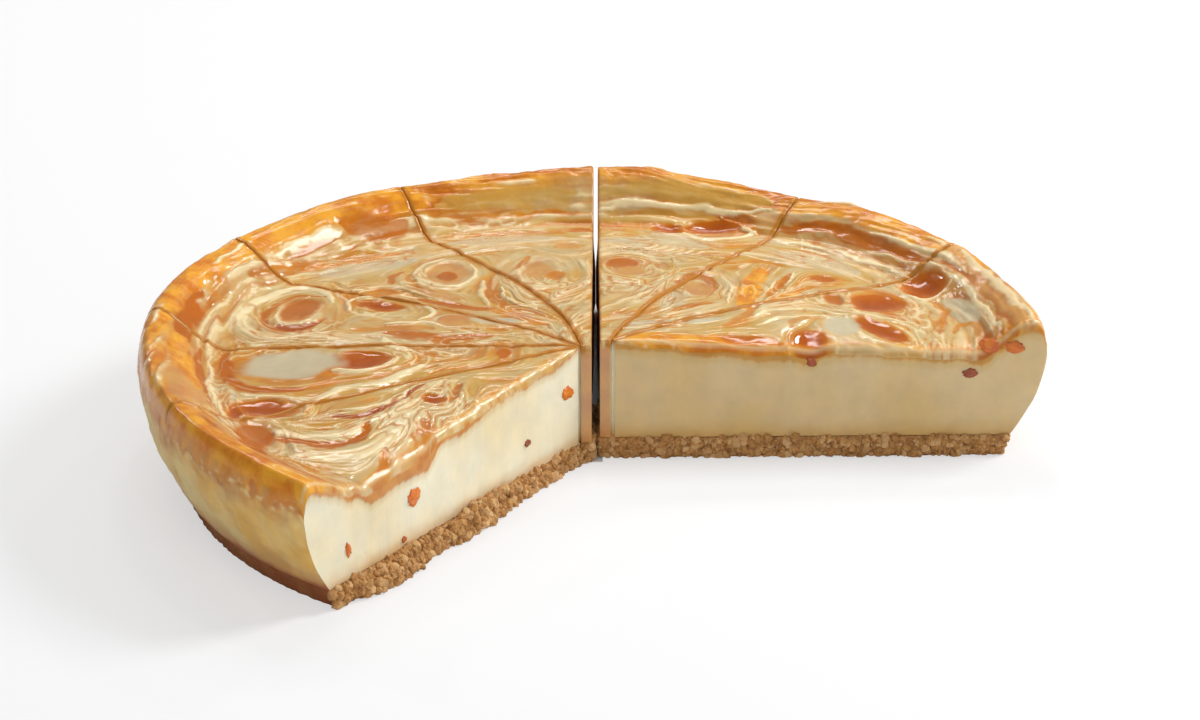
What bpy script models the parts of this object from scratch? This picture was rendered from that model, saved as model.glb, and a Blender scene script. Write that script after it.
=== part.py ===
"""A baked swirl cheesecake on a biscuit base, cut for twelve, with eight of its slices left.

The cake stands on its base with +Z up and its back towards +Y. One cut runs through it from front to
back, and the two halves are drawn a little apart there: five slices are on the left, three on the
right. Each slice is a wedge of filling on a wedge of biscuit. Lengths are in metres. Angles are in
degrees about the cake's axis, from the back of the cake, negative to the left and positive to the right.
"""

import math
import random

import bmesh
import bpy
from mathutils import Vector

# The cake as it was baked
SIDE_RADIUS = 0.130  # at the widest point of the side
SIDE_TAPER = 0.010  # the side leans in by this much down to the biscuit
LIP_START = 0.84  # share of the side's height where it starts to round in
LIP_INSET = 0.0008
BISCUIT_TOP = 0.0060
BISCUIT_RADIUS = 0.1175  # at the very bottom
BISCUIT_FLARE = 0.0020
LAYER_GAP = 0.0003
CENTRE_HEIGHT = 0.0363
TROUGH_RADIUS = 0.098  # the top sinks towards this ring, then climbs to the rim
TROUGH_DROP = 0.0030
RIM_FOOT_RADIUS = 0.106
RIM_CREST_RADIUS = 0.1265
LIP_DROP = 0.0018  # from the rim's crest to the top edge of the side

# The rim rose unevenly: its height by angle
RIM_HEIGHTS = {
    -145.5: 0.0405,
    -116.0: 0.0420,
    -87.0: 0.0450,
    -72.0: 0.0438,
    -57.0: 0.0430,
    -35.0: 0.0443,
    -22.0: 0.0434,
    6.0: 0.0450,
    17.0: 0.0426,
    29.0: 0.0412,
    38.0: 0.0422,
    58.0: 0.0414,
    76.0: 0.0402,
    89.0: 0.0422,
}

# Where the swirled sauce pooled, each hollow with a fold of filling pushed up round it:
# distance from the axis, angle, radius, depth
POOLS = [
    (0.096, -70.0, 0.015, 0.0014),
    (0.067, -98.0, 0.010, 0.0011),
    (0.100, -106.0, 0.012, 0.0012),
    (0.073, -64.0, 0.009, 0.0009),
    (0.074, -37.0, 0.011, 0.0010),
    (0.101, -130.0, 0.012, 0.0013),
    (0.060, -134.0, 0.010, 0.0010),
    (0.104, -15.0, 0.011, 0.0010),
    (0.103, 20.0, 0.011, 0.0012),
    (0.070, 10.0, 0.011, 0.0008),
    (0.106, 61.0, 0.009, 0.0011),
    (0.094, 67.0, 0.011, 0.0012),
    (0.084, 79.0, 0.010, 0.0012),
    (0.060, 83.0, 0.009, 0.0010),
]
FOLD_SHARE = 0.6  # a fold stands this much of its pool's depth above the top
FOLD_RADII = 1.55  # from the pool's middle to the crest of the fold, in pool radii
FOLD_WIDTH = 0.45

# The cuts
CUTS = {
    "left": [0.0, -27.0, -57.0, -86.5, -116.0, -145.5],
    "right": [0.0, 29.0, 58.5, 89.0],
}
MEETING_POINT = {"left": Vector((-0.0042, -0.0005)), "right": Vector((0.0042, 0.0035))}
BOWS = {"left": {-27.0: 0.0070, -57.0: 0.0040}, "right": {29.0: 0.0045, 58.5: 0.0035}}  # a cut's bend towards the back
KERF = 0.0003
HALVES_GAP_CENTRE = 0.0024  # the gap between the halves, at the axis
HALVES_GAP_RIM = 0.0013
TIP_BLUNT = 0.0014  # each tip ends this far from where its half's cuts meet

# How finely the solids are divided
ACROSS = 8
ALONG = 20
UP = 4
BISCUIT_SIDE_POINTS = 9
BISCUIT_ARC_POINTS = 8
CRUMBLE = 0.0007  # the most that the biscuit's edge is broken back


def mixed(a, b, share):
    return a + (b - a) * share


def rim_height(angle):
    """Height of the rim's crest, eased from one mark to the next."""
    marks = sorted(RIM_HEIGHTS)
    angle = min(max(angle, marks[0]), marks[-1])
    for low, high in zip(marks, marks[1:]):
        if angle <= high:
            share = (angle - low) / (high - low)
            return mixed(RIM_HEIGHTS[low], RIM_HEIGHTS[high], share * share * (3 - 2 * share))
    return RIM_HEIGHTS[marks[-1]]


def swirl_relief(point):
    """How far the pools of sauce lower the top here, and the folds round them raise it."""
    height = 0.0
    for distance, angle, radius, depth in POOLS:
        middle = Vector((math.sin(math.radians(angle)), math.cos(math.radians(angle)))) * distance
        radii = (point - middle).length / radius
        fold = FOLD_SHARE * math.exp(-(((radii - FOLD_RADII) / FOLD_WIDTH) ** 2))
        height += depth * (fold - math.exp(-(radii**2)))
    return height


def top_height(point):
    """Height of the cake's top: a slight crown, a trough, and the rim that baked higher."""
    radius = point.length
    crown = CENTRE_HEIGHT - TROUGH_DROP * (radius / TROUGH_RADIUS) ** 2
    climb = min(max((radius - RIM_FOOT_RADIUS) / (RIM_CREST_RADIUS - RIM_FOOT_RADIUS), 0.0), 1.0)
    rise = 0.5 - 0.5 * math.cos(math.pi * climb)
    crest = rim_height(math.degrees(math.atan2(point.x, point.y)))
    edge = side_radius(1.0)
    fall = LIP_DROP * max(0.0, (radius - RIM_CREST_RADIUS) / (edge - RIM_CREST_RADIUS)) ** 2
    return mixed(crown, crest, rise) - fall + swirl_relief(point) * (1 - rise)


def side_radius(share):
    """Radius of the filling's side at a share of its height."""
    lip = max(0.0, (share - LIP_START) / (1 - LIP_START))
    return SIDE_RADIUS - SIDE_TAPER * (1 - share) ** 2 - LIP_INSET * lip**2


def cut_edge(half, angle, inner, radius, inset):
    """Inner and outer end of one face of a cut, moved by inset to the side, out to the given radius."""
    sign = -1 if half == "left" else 1
    if angle == 0.0:
        start = Vector((sign * HALVES_GAP_CENTRE / 2, MEETING_POINT[half].y))
        rim = Vector((sign * HALVES_GAP_RIM / 2, SIDE_RADIUS))
        along = (rim - start).normalized()
        inner, inset = 0.0, 0.0
    else:
        start = MEETING_POINT[half]
        along = Vector((math.sin(math.radians(angle)), math.cos(math.radians(angle))))
    start = start + Vector((along.y, -along.x)) * inset
    near = -start.dot(along)
    reach = near + math.sqrt(near**2 + radius**2 - start.length_squared)
    return start + along * inner, start + along * reach


def wedge(half, first, second, radius):
    """A slice's plan corners, inner and outer end of its first face and then of its second, with their bows."""
    turn = 1 if half == "right" else -1
    last = CUTS[half][-1]
    blunt = 0.0 if first == 0.0 else TIP_BLUNT
    start = cut_edge(half, first, TIP_BLUNT, radius, turn * KERF / 2)
    end = cut_edge(half, second, blunt, radius, 0.0 if second == last else -turn * KERF / 2)
    bows = [-turn * BOWS[half].get(cut, 0.0) for cut in (first, second)]
    return (*start, *end), bows, MEETING_POINT[half]


def plan_point(slice_plan, across, along):
    """A plan position between the slice's two faces, with along running from the tip to the round side."""
    (inner_a, outer_a, inner_b, outer_b), bows, meeting = slice_plan
    angle_a = math.atan2(outer_a.x, outer_a.y)
    angle_b = math.atan2(outer_b.x, outer_b.y)
    angle = mixed(angle_a, angle_b, across)
    outer = Vector((math.sin(angle), math.cos(angle))) * outer_a.length
    straight = mixed(mixed(inner_a, inner_b, across), outer, along)
    share = min(1.0, (straight - meeting).length / SIDE_RADIUS)
    aside = mixed(*bows, across) * 6.75 * share * (1 - share) ** 2
    return straight + Vector((math.cos(angle), -math.sin(angle))) * aside


def along_share(step):
    """Rows of points from the tip to the edge, closer together at the rim."""
    share = step / ALONG
    return share + 0.28 * share * (1 - share)


def filling_mesh(half, first, second):
    """One slice of filling: a block of points bent into the wedge, of which only the skin is kept."""
    mesh = bmesh.new()
    made = {}
    bottom = BISCUIT_TOP + LAYER_GAP / 2

    def vertex(i, j, k):
        if (i, j, k) not in made:
            corners = wedge(half, first, second, side_radius(k / UP))
            plan = plan_point(corners, i / ACROSS, along_share(j))
            above = plan_point(wedge(half, first, second, side_radius(1.0)), i / ACROSS, along_share(j))
            height = mixed(bottom, top_height(above), k / UP)
            made[i, j, k] = mesh.verts.new((plan.x, plan.y, height))
        return made[i, j, k]

    def skin(steps_a, steps_b, place):
        for a in range(steps_a):
            for b in range(steps_b):
                corners = ((a, b), (a + 1, b), (a + 1, b + 1), (a, b + 1))
                mesh.faces.new([vertex(*place(*corner)) for corner in corners])

    skin(ACROSS, ALONG, lambda a, b: (a, b, UP))
    for side in (0, ACROSS):
        skin(ALONG, UP, lambda a, b: (side, a, b))
    for end in (0, ALONG):
        skin(ACROSS, UP, lambda a, b: (a, end, b))
    underside = [(0, b) for b in range(ALONG)] + [(a, ALONG) for a in range(ACROSS)]
    underside += [(ACROSS, b) for b in range(ALONG, 0, -1)] + [(a, 0) for a in range(ACROSS, 0, -1)]
    mesh.faces.new([vertex(a, b, 0) for a, b in underside])
    bmesh.ops.recalc_face_normals(mesh, faces=mesh.faces)
    return mesh


def biscuit_outline(half, first, second, radius, chance):
    """The plan outline of a slice of biscuit, broken back a little by chance along its edges."""
    corners = wedge(half, first, second, radius)
    faces = [step / BISCUIT_SIDE_POINTS for step in range(1, BISCUIT_SIDE_POINTS)]
    arc = [step / BISCUIT_ARC_POINTS for step in range(BISCUIT_ARC_POINTS + 1)]
    path = [(0.0, 0.0)] + [(0.0, share) for share in faces]
    path += [(share, 1.0) for share in arc]
    path += [(1.0, share) for share in reversed(faces)] + [(1.0, 0.0)]
    middle = plan_point(corners, 0.5, 0.6)
    points = []
    for across, along in path:
        point = plan_point(corners, across, along)
        broken = chance.uniform(0.0, CRUMBLE) * min(1.0, along * 6)
        points.append(point + (middle - point).normalized() * broken)
    return points


def biscuit_mesh(half, first, second, chance):
    """One slice of the biscuit base: three crumbled outlines, one above the other, with flat caps."""
    mesh = bmesh.new()
    rings = []
    top = BISCUIT_TOP - LAYER_GAP / 2
    for share in (0.0, 0.45, 1.0):
        outline = biscuit_outline(half, first, second, BISCUIT_RADIUS + BISCUIT_FLARE * share, chance)
        rings.append([mesh.verts.new((point.x, point.y, top * share)) for point in outline])
    for lower, upper in zip(rings, rings[1:]):
        for n in range(len(lower)):
            after = (n + 1) % len(lower)
            mesh.faces.new((lower[n], lower[after], upper[after], upper[n]))
    mesh.faces.new(rings[0])
    mesh.faces.new(rings[-1])
    bmesh.ops.triangulate(mesh, faces=mesh.faces)
    bmesh.ops.recalc_face_normals(mesh, faces=mesh.faces)
    return mesh


def material(name, colour, roughness):
    made = bpy.data.materials.new(name)
    made.use_nodes = True
    shader = made.node_tree.nodes["Principled BSDF"]
    shader.inputs["Base Color"].default_value = (*colour, 1.0)
    shader.inputs["Roughness"].default_value = roughness
    shader.inputs["Metallic"].default_value = 0.0
    return made


def add_object(name, mesh, finish, parent, smooth_angle):
    data = bpy.data.meshes.new(name)
    mesh.to_mesh(data)
    mesh.free()
    data.materials.append(finish)
    data.shade_smooth()
    data.set_sharp_from_angle(angle=math.radians(smooth_angle))
    obj = bpy.data.objects.new(name, data)
    obj.parent = parent
    bpy.context.scene.collection.objects.link(obj)
    return obj


def stand_on_origin(axis, pieces):
    """Moves the cake's axis so that the middle of the cake's footprint stands on the origin."""
    plan = [vertex.co.xy for piece in pieces for vertex in piece.data.vertices]
    middle_x = (min(p.x for p in plan) + max(p.x for p in plan)) / 2
    middle_y = (min(p.y for p in plan) + max(p.y for p in plan)) / 2
    axis.location = (-middle_x, -middle_y, 0.0)


def main():
    for obj in list(bpy.data.objects):
        bpy.data.objects.remove(obj)
    chance = random.Random(12)
    cheese = material("baked_filling", (0.78, 0.66, 0.44), 0.45)
    biscuit = material("biscuit_base", (0.42, 0.22, 0.09), 0.85)
    axis = bpy.data.objects.new("cake_axis", None)
    bpy.context.scene.collection.objects.link(axis)
    pieces = []
    for half, cuts in CUTS.items():
        for number, (first, second) in enumerate(zip(cuts, cuts[1:]), start=1):
            filling = filling_mesh(half, first, second)
            crumb = biscuit_mesh(half, first, second, chance)
            pieces.append(add_object(f"filling_{half}_{number}", filling, cheese, axis, 40))
            pieces.append(add_object(f"biscuit_{half}_{number}", crumb, biscuit, axis, 30))
    stand_on_origin(axis, pieces)


main()
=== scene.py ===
import math

import bmesh
import bpy
import numpy as np
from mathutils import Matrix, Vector


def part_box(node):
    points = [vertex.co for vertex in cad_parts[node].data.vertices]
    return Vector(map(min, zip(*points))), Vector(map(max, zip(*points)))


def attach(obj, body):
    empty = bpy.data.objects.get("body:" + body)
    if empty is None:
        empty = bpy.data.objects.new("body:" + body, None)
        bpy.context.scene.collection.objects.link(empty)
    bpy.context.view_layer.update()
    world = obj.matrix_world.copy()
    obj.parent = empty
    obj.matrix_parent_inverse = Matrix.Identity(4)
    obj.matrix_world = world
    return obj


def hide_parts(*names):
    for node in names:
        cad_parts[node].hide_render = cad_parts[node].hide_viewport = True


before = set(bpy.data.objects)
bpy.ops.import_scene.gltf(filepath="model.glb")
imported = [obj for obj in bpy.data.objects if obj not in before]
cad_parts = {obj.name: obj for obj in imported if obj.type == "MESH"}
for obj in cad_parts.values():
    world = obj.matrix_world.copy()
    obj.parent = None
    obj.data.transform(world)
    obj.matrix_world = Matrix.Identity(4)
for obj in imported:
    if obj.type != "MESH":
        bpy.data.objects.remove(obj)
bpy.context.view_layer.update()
print("frame loaded:", len(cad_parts), "solids")

mm = 0.001

# The cake as it was baked, with the sizes that its solids were made from
cake = {
    "tinRadius": 130 * mm,
    "sideTaper": 10 * mm,  # the side leans in by this much down to the biscuit
    "lipStart": 0.84,
    "lipInset": 0.8 * mm,
    "biscuitTop": 6 * mm,
    "biscuitRadius": 117.5 * mm,
    "biscuitFlare": 2 * mm,
    "layerGap": 0.3 * mm,
    "centreHeight": 36.3 * mm,
    "troughRadius": 98 * mm,
    "troughDrop": 3 * mm,
    "rimFoot": 106 * mm,
    "rimCrest": 126.5 * mm,
    "lipDrop": 1.8 * mm,
    "rimHeights": {  # by angle from the back, in mm
        -145.5: 40.5, -116: 42.0, -87: 45.0, -72: 43.8, -57: 43.0, -35: 44.3, -22: 43.4,
        6: 45.0, 17: 42.6, 29: 41.2, 38: 42.2, 58: 41.4, 76: 40.2, 89: 42.2,
    },
    "cuts": {"left": [0, -27, -57, -86.5, -116, -145.5], "right": [0, 29, 58.5, 89]},
    "meeting": {"left": (-4.2 * mm, -0.5 * mm), "right": (4.2 * mm, 3.5 * mm)},
    "bows": {"left": {-27: 7 * mm, -57: 4 * mm}, "right": {29: 4.5 * mm, 58.5: 3.5 * mm}},
    "kerf": 0.04 * mm,  # the sauce closes the cuts
    "gapCentre": 2.4 * mm,  # between the two halves
    "gapRim": 1.3 * mm,
    "tipBlunt": 1.4 * mm,
}


def findAxis():
    # The halves' inner faces stand either side of the axis, and the last cut starts behind it
    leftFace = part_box("filling_left_1")[1][0]
    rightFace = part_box("filling_right_1")[0][0]
    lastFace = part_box("filling_right_3")[0][1]
    blunt = cake["tipBlunt"] * math.cos(math.radians(89))
    return Vector(((leftFace + rightFace) / 2, lastFace - cake["meeting"]["right"][1] - blunt, 0.0))


cakeAxis = findAxis()
print("cake axis at", [round(value, 5) for value in cakeAxis])


# Small helpers for shapes
def mixed(a, b, share):
    return a + (b - a) * share


def eased(value, low, high):
    share = np.clip((value - low) / (high - low), 0, 1)
    return share * share * (3 - 2 * share)


def bell(value, middle, width):
    return np.exp(-(((value - middle) / width) ** 2))


def softNoise(x, y, seed):
    # Gradient noise, about -1 to 1, one lump per unit
    turns = np.random.default_rng(seed).random((256, 256)) * 2 * math.pi
    cellX, cellY = np.floor(x).astype(int), np.floor(y).astype(int)
    partX, partY = x - cellX, y - cellY
    easeX = partX**3 * (partX * (partX * 6 - 15) + 10)
    easeY = partY**3 * (partY * (partY * 6 - 15) + 10)

    def corner(i, j):
        turn = turns[(cellX + i) & 255, (cellY + j) & 255]
        return np.cos(turn) * (partX - i) + np.sin(turn) * (partY - j)

    low = mixed(corner(0, 0), corner(1, 0), easeX)
    high = mixed(corner(0, 1), corner(1, 1), easeX)
    return 1.5 * mixed(low, high, easeY)


def layeredNoise(x, y, seed, layers=3):
    total = 0
    for layer in range(layers):
        total = total + softNoise(x * 2**layer, y * 2**layer, seed + layer) / 2**layer
    return total


def throughMarks(marks, value):
    # A smooth line through marks given as {place: height}
    places = sorted(marks)
    result = np.full(np.shape(value), float(marks[places[0]]))
    for low, high in zip(places, places[1:]):
        inside = value >= low
        step = eased(value, low, high)
        result = np.where(inside, mixed(marks[low], marks[high], step), result)
    return result


# The swirl on top. Places and widths are shares of the tin's radius, from the cake's axis.
swirl = {
    # colour, middle, half length, half width, turn in degrees, depth in mm
    "pools": [
        ("deep", (-0.51, -0.06), 0.064, 0.052, 0, 0.9),
        ("deep", (-0.70, -0.295), 0.072, 0.042, -20, 0.8),
        ("deep", (-0.765, -0.31), 0.018, 0.038, 0, 0.4),
        ("caramel", (-0.715, -0.45), 0.045, 0.090, 8, 0.5),
        ("deep", (-0.345, -0.28), 0.026, 0.024, 0, 0.5),
        ("caramel", (-0.20, -0.04), 0.018, 0.032, 0, 0.3),
        ("caramel", (-0.67, 0.26), 0.045, 0.080, -8, 0.6),
        ("deep", (-0.485, 0.265), 0.052, 0.030, -22, 0.7),
        ("amber", (-0.49, 0.355), 0.045, 0.026, 0, 0.4),
        ("tan", (-0.345, 0.47), 0.052, 0.076, 0, 0.6),
        ("caramel", (-0.34, 0.455), 0.022, 0.034, 0, 0.2),
        ("tan", (-0.315, 0.165), 0.046, 0.040, -20, 0.4),
        ("tan", (-0.13, 0.48), 0.038, 0.060, 0, 0.3),
        ("amber", (-0.095, 0.445), 0.024, 0.032, 0, 0.3),
        ("tan", (-0.07, 0.66), 0.030, 0.024, 0, 0.3),
        ("caramel", (-0.035, 0.78), 0.040, 0.022, 0, 0.4),
        ("deep", (0.175, 0.785), 0.044, 0.028, -28, 0.7),
        ("deep", (0.28, 0.79), 0.072, 0.032, -4, 0.8),
        ("tan", (0.285, 0.747), 0.050, 0.018, 0, 0.3),
        ("caramel", (0.065, 0.53), 0.040, 0.044, 20, 0.4),
        ("tan", (0.08, 0.475), 0.040, 0.036, 0, 0.2),
        ("tan", (0.235, 0.36), 0.036, 0.050, 0, 0.3),
        ("caramel", (0.525, 0.445), 0.030, 0.018, 0, 0.3),
        ("caramel", (0.54, 0.31), 0.022, 0.042, 12, 0.4),
        ("deep", (0.64, 0.30), 0.062, 0.056, 0, 0.8),
        ("deep", (0.75, 0.40), 0.046, 0.056, 25, 0.8),
        ("deep", (0.635, 0.135), 0.080, 0.036, -50, 0.8),
        ("deep", (0.475, 0.065), 0.042, 0.056, 0, 0.7),
        ("caramel", (0.33, 0.06), 0.060, 0.028, 0, 0.5),
        ("caramel", (0.865, 0.06), 0.020, 0.050, 0, 0.4),
        ("tan", (-0.875, -0.30), 0.046, 0.110, 12, 0.2),
        ("pale", (-0.665, -0.06), 0.110, 0.085, 0, 0.6),
        ("pale", (0.55, 0.15), 0.046, 0.060, 0, 0.3),
        ("pale", (-0.22, 0.155), 0.060, 0.026, -12, 0.3),
    ],
    # colour, width, strength, then the places that the spoon went through; a few thin cream and pale
    # strokes are painted highlights on the glaze instead
    "strokes": [
        ("caramel", 0.046, 1.0, (-0.815, 0.02), (-0.805, -0.08), (-0.775, -0.16), (-0.71, -0.195),
         (-0.63, -0.20)),
        ("amber", 0.045, 0.9, (-0.62, -0.20), (-0.585, -0.16), (-0.575, -0.09), (-0.575, -0.02)),
        ("cream", 0.022, 0.9, (-0.57, -0.115), (-0.52, -0.125), (-0.46, -0.10), (-0.43, -0.05)),
        ("olive", 0.032, 0.8, (-0.51, -0.20), (-0.43, -0.175), (-0.36, -0.13), (-0.29, -0.10),
         (-0.22, -0.06)),
        ("amber", 0.018, 0.9, (-0.36, -0.14), (-0.32, -0.115), (-0.27, -0.10)),
        ("cream", 0.030, 1.0, (-0.76, -0.21), (-0.68, -0.25), (-0.60, -0.255), (-0.54, -0.21),
         (-0.46, -0.18), (-0.38, -0.10)),
        ("olive", 0.030, 0.8, (-0.61, -0.34), (-0.585, -0.28), (-0.54, -0.235), (-0.48, -0.205)),
        # painted highlight: the thin pale stroke below stands for a glint on the glaze
        ("pale", 0.016, 0.9, (-0.778, -0.19), (-0.774, -0.25)),
        ("tan", 0.022, 0.9, (-0.80, -0.19), (-0.79, -0.27), (-0.765, -0.34), (-0.72, -0.38)),
        ("deep", 0.020, 0.9, (-0.68, -0.41), (-0.70, -0.49), (-0.72, -0.56)),
        ("cream", 0.028, 1.0, (-0.68, -0.41), (-0.60, -0.445), (-0.52, -0.43), (-0.46, -0.37),
         (-0.40, -0.30)),
        ("caramel", 0.034, 1.0, (-0.67, -0.445), (-0.61, -0.475), (-0.56, -0.49), (-0.51, -0.475),
         (-0.48, -0.43), (-0.475, -0.39)),
        ("olive", 0.045, 0.7, (-0.66, -0.37), (-0.58, -0.39), (-0.51, -0.37)),
        ("deep", 0.028, 1.0, (-0.55, -0.345), (-0.49, -0.345), (-0.43, -0.29), (-0.395, -0.24),
         (-0.37, -0.20)),
        # painted highlight: the thin cream stroke below stands for a glint along the ridge of the dark
        # streak
        ("cream", 0.014, 1.0, (-0.54, -0.322), (-0.47, -0.31), (-0.42, -0.265), (-0.40, -0.23)),
        ("caramel", 0.018, 0.8, (-0.29, -0.20), (-0.295, -0.25), (-0.31, -0.29)),
        ("cream", 0.050, 0.7, (-0.62, -0.53), (-0.53, -0.54), (-0.46, -0.50), (-0.42, -0.42),
         (-0.39, -0.34)),
        ("amber", 0.030, 0.9, (-0.44, -0.50), (-0.44, -0.57), (-0.47, -0.62)),
        ("caramel", 0.030, 0.8, (-0.36, -0.38), (-0.35, -0.43), (-0.36, -0.50)),
        ("caramel", 0.060, 1.0, (-0.745, -0.46), (-0.70, -0.58), (-0.62, -0.67), (-0.54, -0.72)),
        ("tan", 0.020, 0.9, (-0.79, -0.46), (-0.74, -0.58), (-0.66, -0.68), (-0.56, -0.76)),
        ("caramel", 0.016, 0.8, (-0.80, -0.50), (-0.75, -0.60), (-0.67, -0.70), (-0.57, -0.78)),
        ("tan", 0.018, 0.8, (-0.66, -0.53), (-0.60, -0.61), (-0.52, -0.66), (-0.47, -0.67)),
        ("golden", 0.050, 1.0, (-0.905, 0.00), (-0.90, -0.10), (-0.88, -0.18), (-0.85, -0.24)),
        ("golden", 0.085, 1.0, (-0.87, -0.42), (-0.83, -0.53), (-0.75, -0.64), (-0.66, -0.73),
         (-0.57, -0.80)),
        ("caramel", 0.016, 0.9, (-0.87, 0.00), (-0.86, -0.12), (-0.835, -0.21), (-0.81, -0.30)),
        ("cream", 0.014, 0.9, (-0.845, 0.02), (-0.84, -0.10), (-0.825, -0.20), (-0.80, -0.31),
         (-0.76, -0.42)),
        ("golden", 0.075, 0.9, (-0.95, 0.02), (-0.92, 0.22), (-0.86, 0.40), (-0.78, 0.53),
         (-0.67, 0.66), (-0.54, 0.76), (-0.42, 0.83)),
        ("caramel", 0.045, 1.0, (-0.915, 0.00), (-0.905, 0.12), (-0.89, 0.24)),
        ("caramel", 0.060, 0.8, (-0.60, 0.69), (-0.52, 0.715), (-0.45, 0.755)),
        ("caramel", 0.045, 0.6, (-0.79, 0.41), (-0.74, 0.465), (-0.70, 0.49)),
        ("cream", 0.010, 1.0, (-0.87, 0.37), (-0.84, 0.44), (-0.80, 0.515)),
        ("cream", 0.012, 1.0, (-0.72, 0.555), (-0.67, 0.61), (-0.62, 0.66)),
        ("amber", 0.036, 0.9, (-0.76, 0.47), (-0.68, 0.52), (-0.60, 0.56), (-0.52, 0.61), (-0.43, 0.63)),
        ("pale", 0.080, 0.7, (-0.62, 0.49), (-0.52, 0.53), (-0.43, 0.57)),
        ("cream", 0.024, 1.0, (-0.60, 0.30), (-0.63, 0.39), (-0.71, 0.39), (-0.775, 0.31),
         (-0.795, 0.20), (-0.76, 0.12), (-0.69, 0.09), (-0.62, 0.11)),
        ("caramel", 0.024, 0.9, (-0.62, 0.34), (-0.69, 0.345), (-0.74, 0.27), (-0.745, 0.19),
         (-0.70, 0.14), (-0.64, 0.15), (-0.61, 0.20)),
        ("cream", 0.010, 0.9, (-0.655, 0.34), (-0.71, 0.27), (-0.715, 0.19), (-0.67, 0.175)),
        ("deep", 0.032, 0.9, (-0.71, 0.165), (-0.665, 0.15), (-0.625, 0.175)),
        ("amber", 0.030, 0.8, (-0.60, 0.37), (-0.56, 0.32), (-0.545, 0.26)),
        ("cream", 0.016, 1.0, (-0.555, 0.25), (-0.55, 0.31), (-0.47, 0.325), (-0.40, 0.27),
         (-0.365, 0.21), (-0.40, 0.165)),
        ("tan", 0.060, 0.5, (-0.60, 0.26), (-0.59, 0.20), (-0.57, 0.15)),
        ("caramel", 0.026, 0.8, (-0.445, 0.49), (-0.465, 0.45), (-0.465, 0.41)),
        ("amber", 0.022, 0.8, (-0.425, 0.47), (-0.42, 0.41), (-0.40, 0.36)),
        ("cream", 0.014, 0.9, (-0.35, 0.57), (-0.405, 0.53), (-0.41, 0.45), (-0.37, 0.385),
         (-0.31, 0.385), (-0.28, 0.44), (-0.285, 0.52)),
        ("tan", 0.050, 0.7, (-0.41, 0.37), (-0.36, 0.34), (-0.31, 0.29)),
        ("caramel", 0.028, 0.9, (-0.40, 0.30), (-0.34, 0.27), (-0.28, 0.235), (-0.23, 0.23)),
        ("amber", 0.036, 0.9, (-0.23, 0.225), (-0.17, 0.18), (-0.11, 0.13)),
        ("caramel", 0.030, 0.6, (-0.235, 0.43), (-0.24, 0.36), (-0.23, 0.30), (-0.21, 0.25)),
        ("cream", 0.012, 1.0, (-0.215, 0.37), (-0.205, 0.31), (-0.18, 0.25), (-0.13, 0.225)),
        ("cream", 0.012, 0.7, (-0.258, 0.42), (-0.26, 0.34), (-0.245, 0.25)),
        ("amber", 0.022, 0.8, (-0.19, 0.49), (-0.165, 0.53), (-0.155, 0.58)),
        ("amber", 0.018, 0.9, (-0.40, 0.80), (-0.30, 0.815), (-0.20, 0.845), (-0.10, 0.86), (-0.02, 0.86)),
        ("olive", 0.045, 0.7, (-0.38, 0.83), (-0.22, 0.88), (-0.05, 0.905)),
        ("olive", 0.014, 0.7, (-0.38, 0.74), (-0.30, 0.725), (-0.20, 0.75), (-0.08, 0.75)),
        ("olive", 0.012, 0.6, (-0.33, 0.64), (-0.25, 0.68), (-0.13, 0.69)),
        ("pale", 0.060, 0.6, (-0.34, 0.69), (-0.22, 0.71), (-0.08, 0.72)),
        ("caramel", 0.050, 0.9, (-0.47, 0.09), (-0.40, 0.075), (-0.32, 0.055), (-0.24, 0.065)),
        ("amber", 0.040, 0.7, (-0.54, 0.12), (-0.45, 0.12), (-0.36, 0.11)),
        ("cream", 0.014, 1.0, (-0.47, 0.145), (-0.39, 0.15), (-0.32, 0.12), (-0.26, 0.10)),
        ("cream", 0.022, 1.0, (-0.47, 0.06), (-0.44, 0.01), (-0.41, -0.01)),
        # painted highlight: the thin cream line below, round the back rim, stands for light caught on the
        # glaze
        ("cream", 0.013, 1.0, (0.0, 0.87), (0.10, 0.875), (0.20, 0.865), (0.30, 0.84), (0.42, 0.81)),
        ("olive", 0.040, 0.8, (0.0, 0.905), (0.18, 0.90), (0.32, 0.865), (0.42, 0.835)),
        ("olive", 0.030, 0.7, (0.03, 0.845), (0.18, 0.845), (0.30, 0.81)),
        ("amber", 0.030, 0.9, (0.0, 0.82), (0.08, 0.82), (0.15, 0.80)),
        ("cream", 0.020, 1.0, (0.20, 0.76), (0.25, 0.715), (0.32, 0.72), (0.38, 0.755)),
        ("cream", 0.010, 0.9, (0.30, 0.825), (0.345, 0.78), (0.385, 0.745)),
        ("pale", 0.090, 0.7, (0.03, 0.69), (0.14, 0.68), (0.26, 0.66)),
        ("caramel", 0.028, 0.8, (0.165, 0.34), (0.19, 0.40), (0.225, 0.45), (0.26, 0.43),
         (0.27, 0.37), (0.25, 0.31)),
        ("pale", 0.060, 0.6, (0.15, 0.25), (0.18, 0.29), (0.20, 0.33)),
        ("amber", 0.030, 0.9, (0.17, 0.20), (0.21, 0.24), (0.26, 0.27)),
        ("cream", 0.012, 0.9, (0.28, 0.45), (0.31, 0.39), (0.305, 0.32), (0.30, 0.27)),
        ("golden", 0.055, 1.0, (0.385, 0.51), (0.37, 0.44), (0.355, 0.37), (0.35, 0.30), (0.335, 0.23)),
        ("amber", 0.030, 1.0, (0.455, 0.47), (0.425, 0.41), (0.39, 0.33)),
        # painted highlights: the two thin cream strokes below stand for glints beside the amber stroke
        ("cream", 0.009, 1.0, (0.465, 0.475), (0.44, 0.42)),
        ("cream", 0.009, 1.0, (0.415, 0.42), (0.395, 0.35)),
        ("golden", 0.032, 0.9, (0.475, 0.38), (0.44, 0.34), (0.395, 0.31)),
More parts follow.
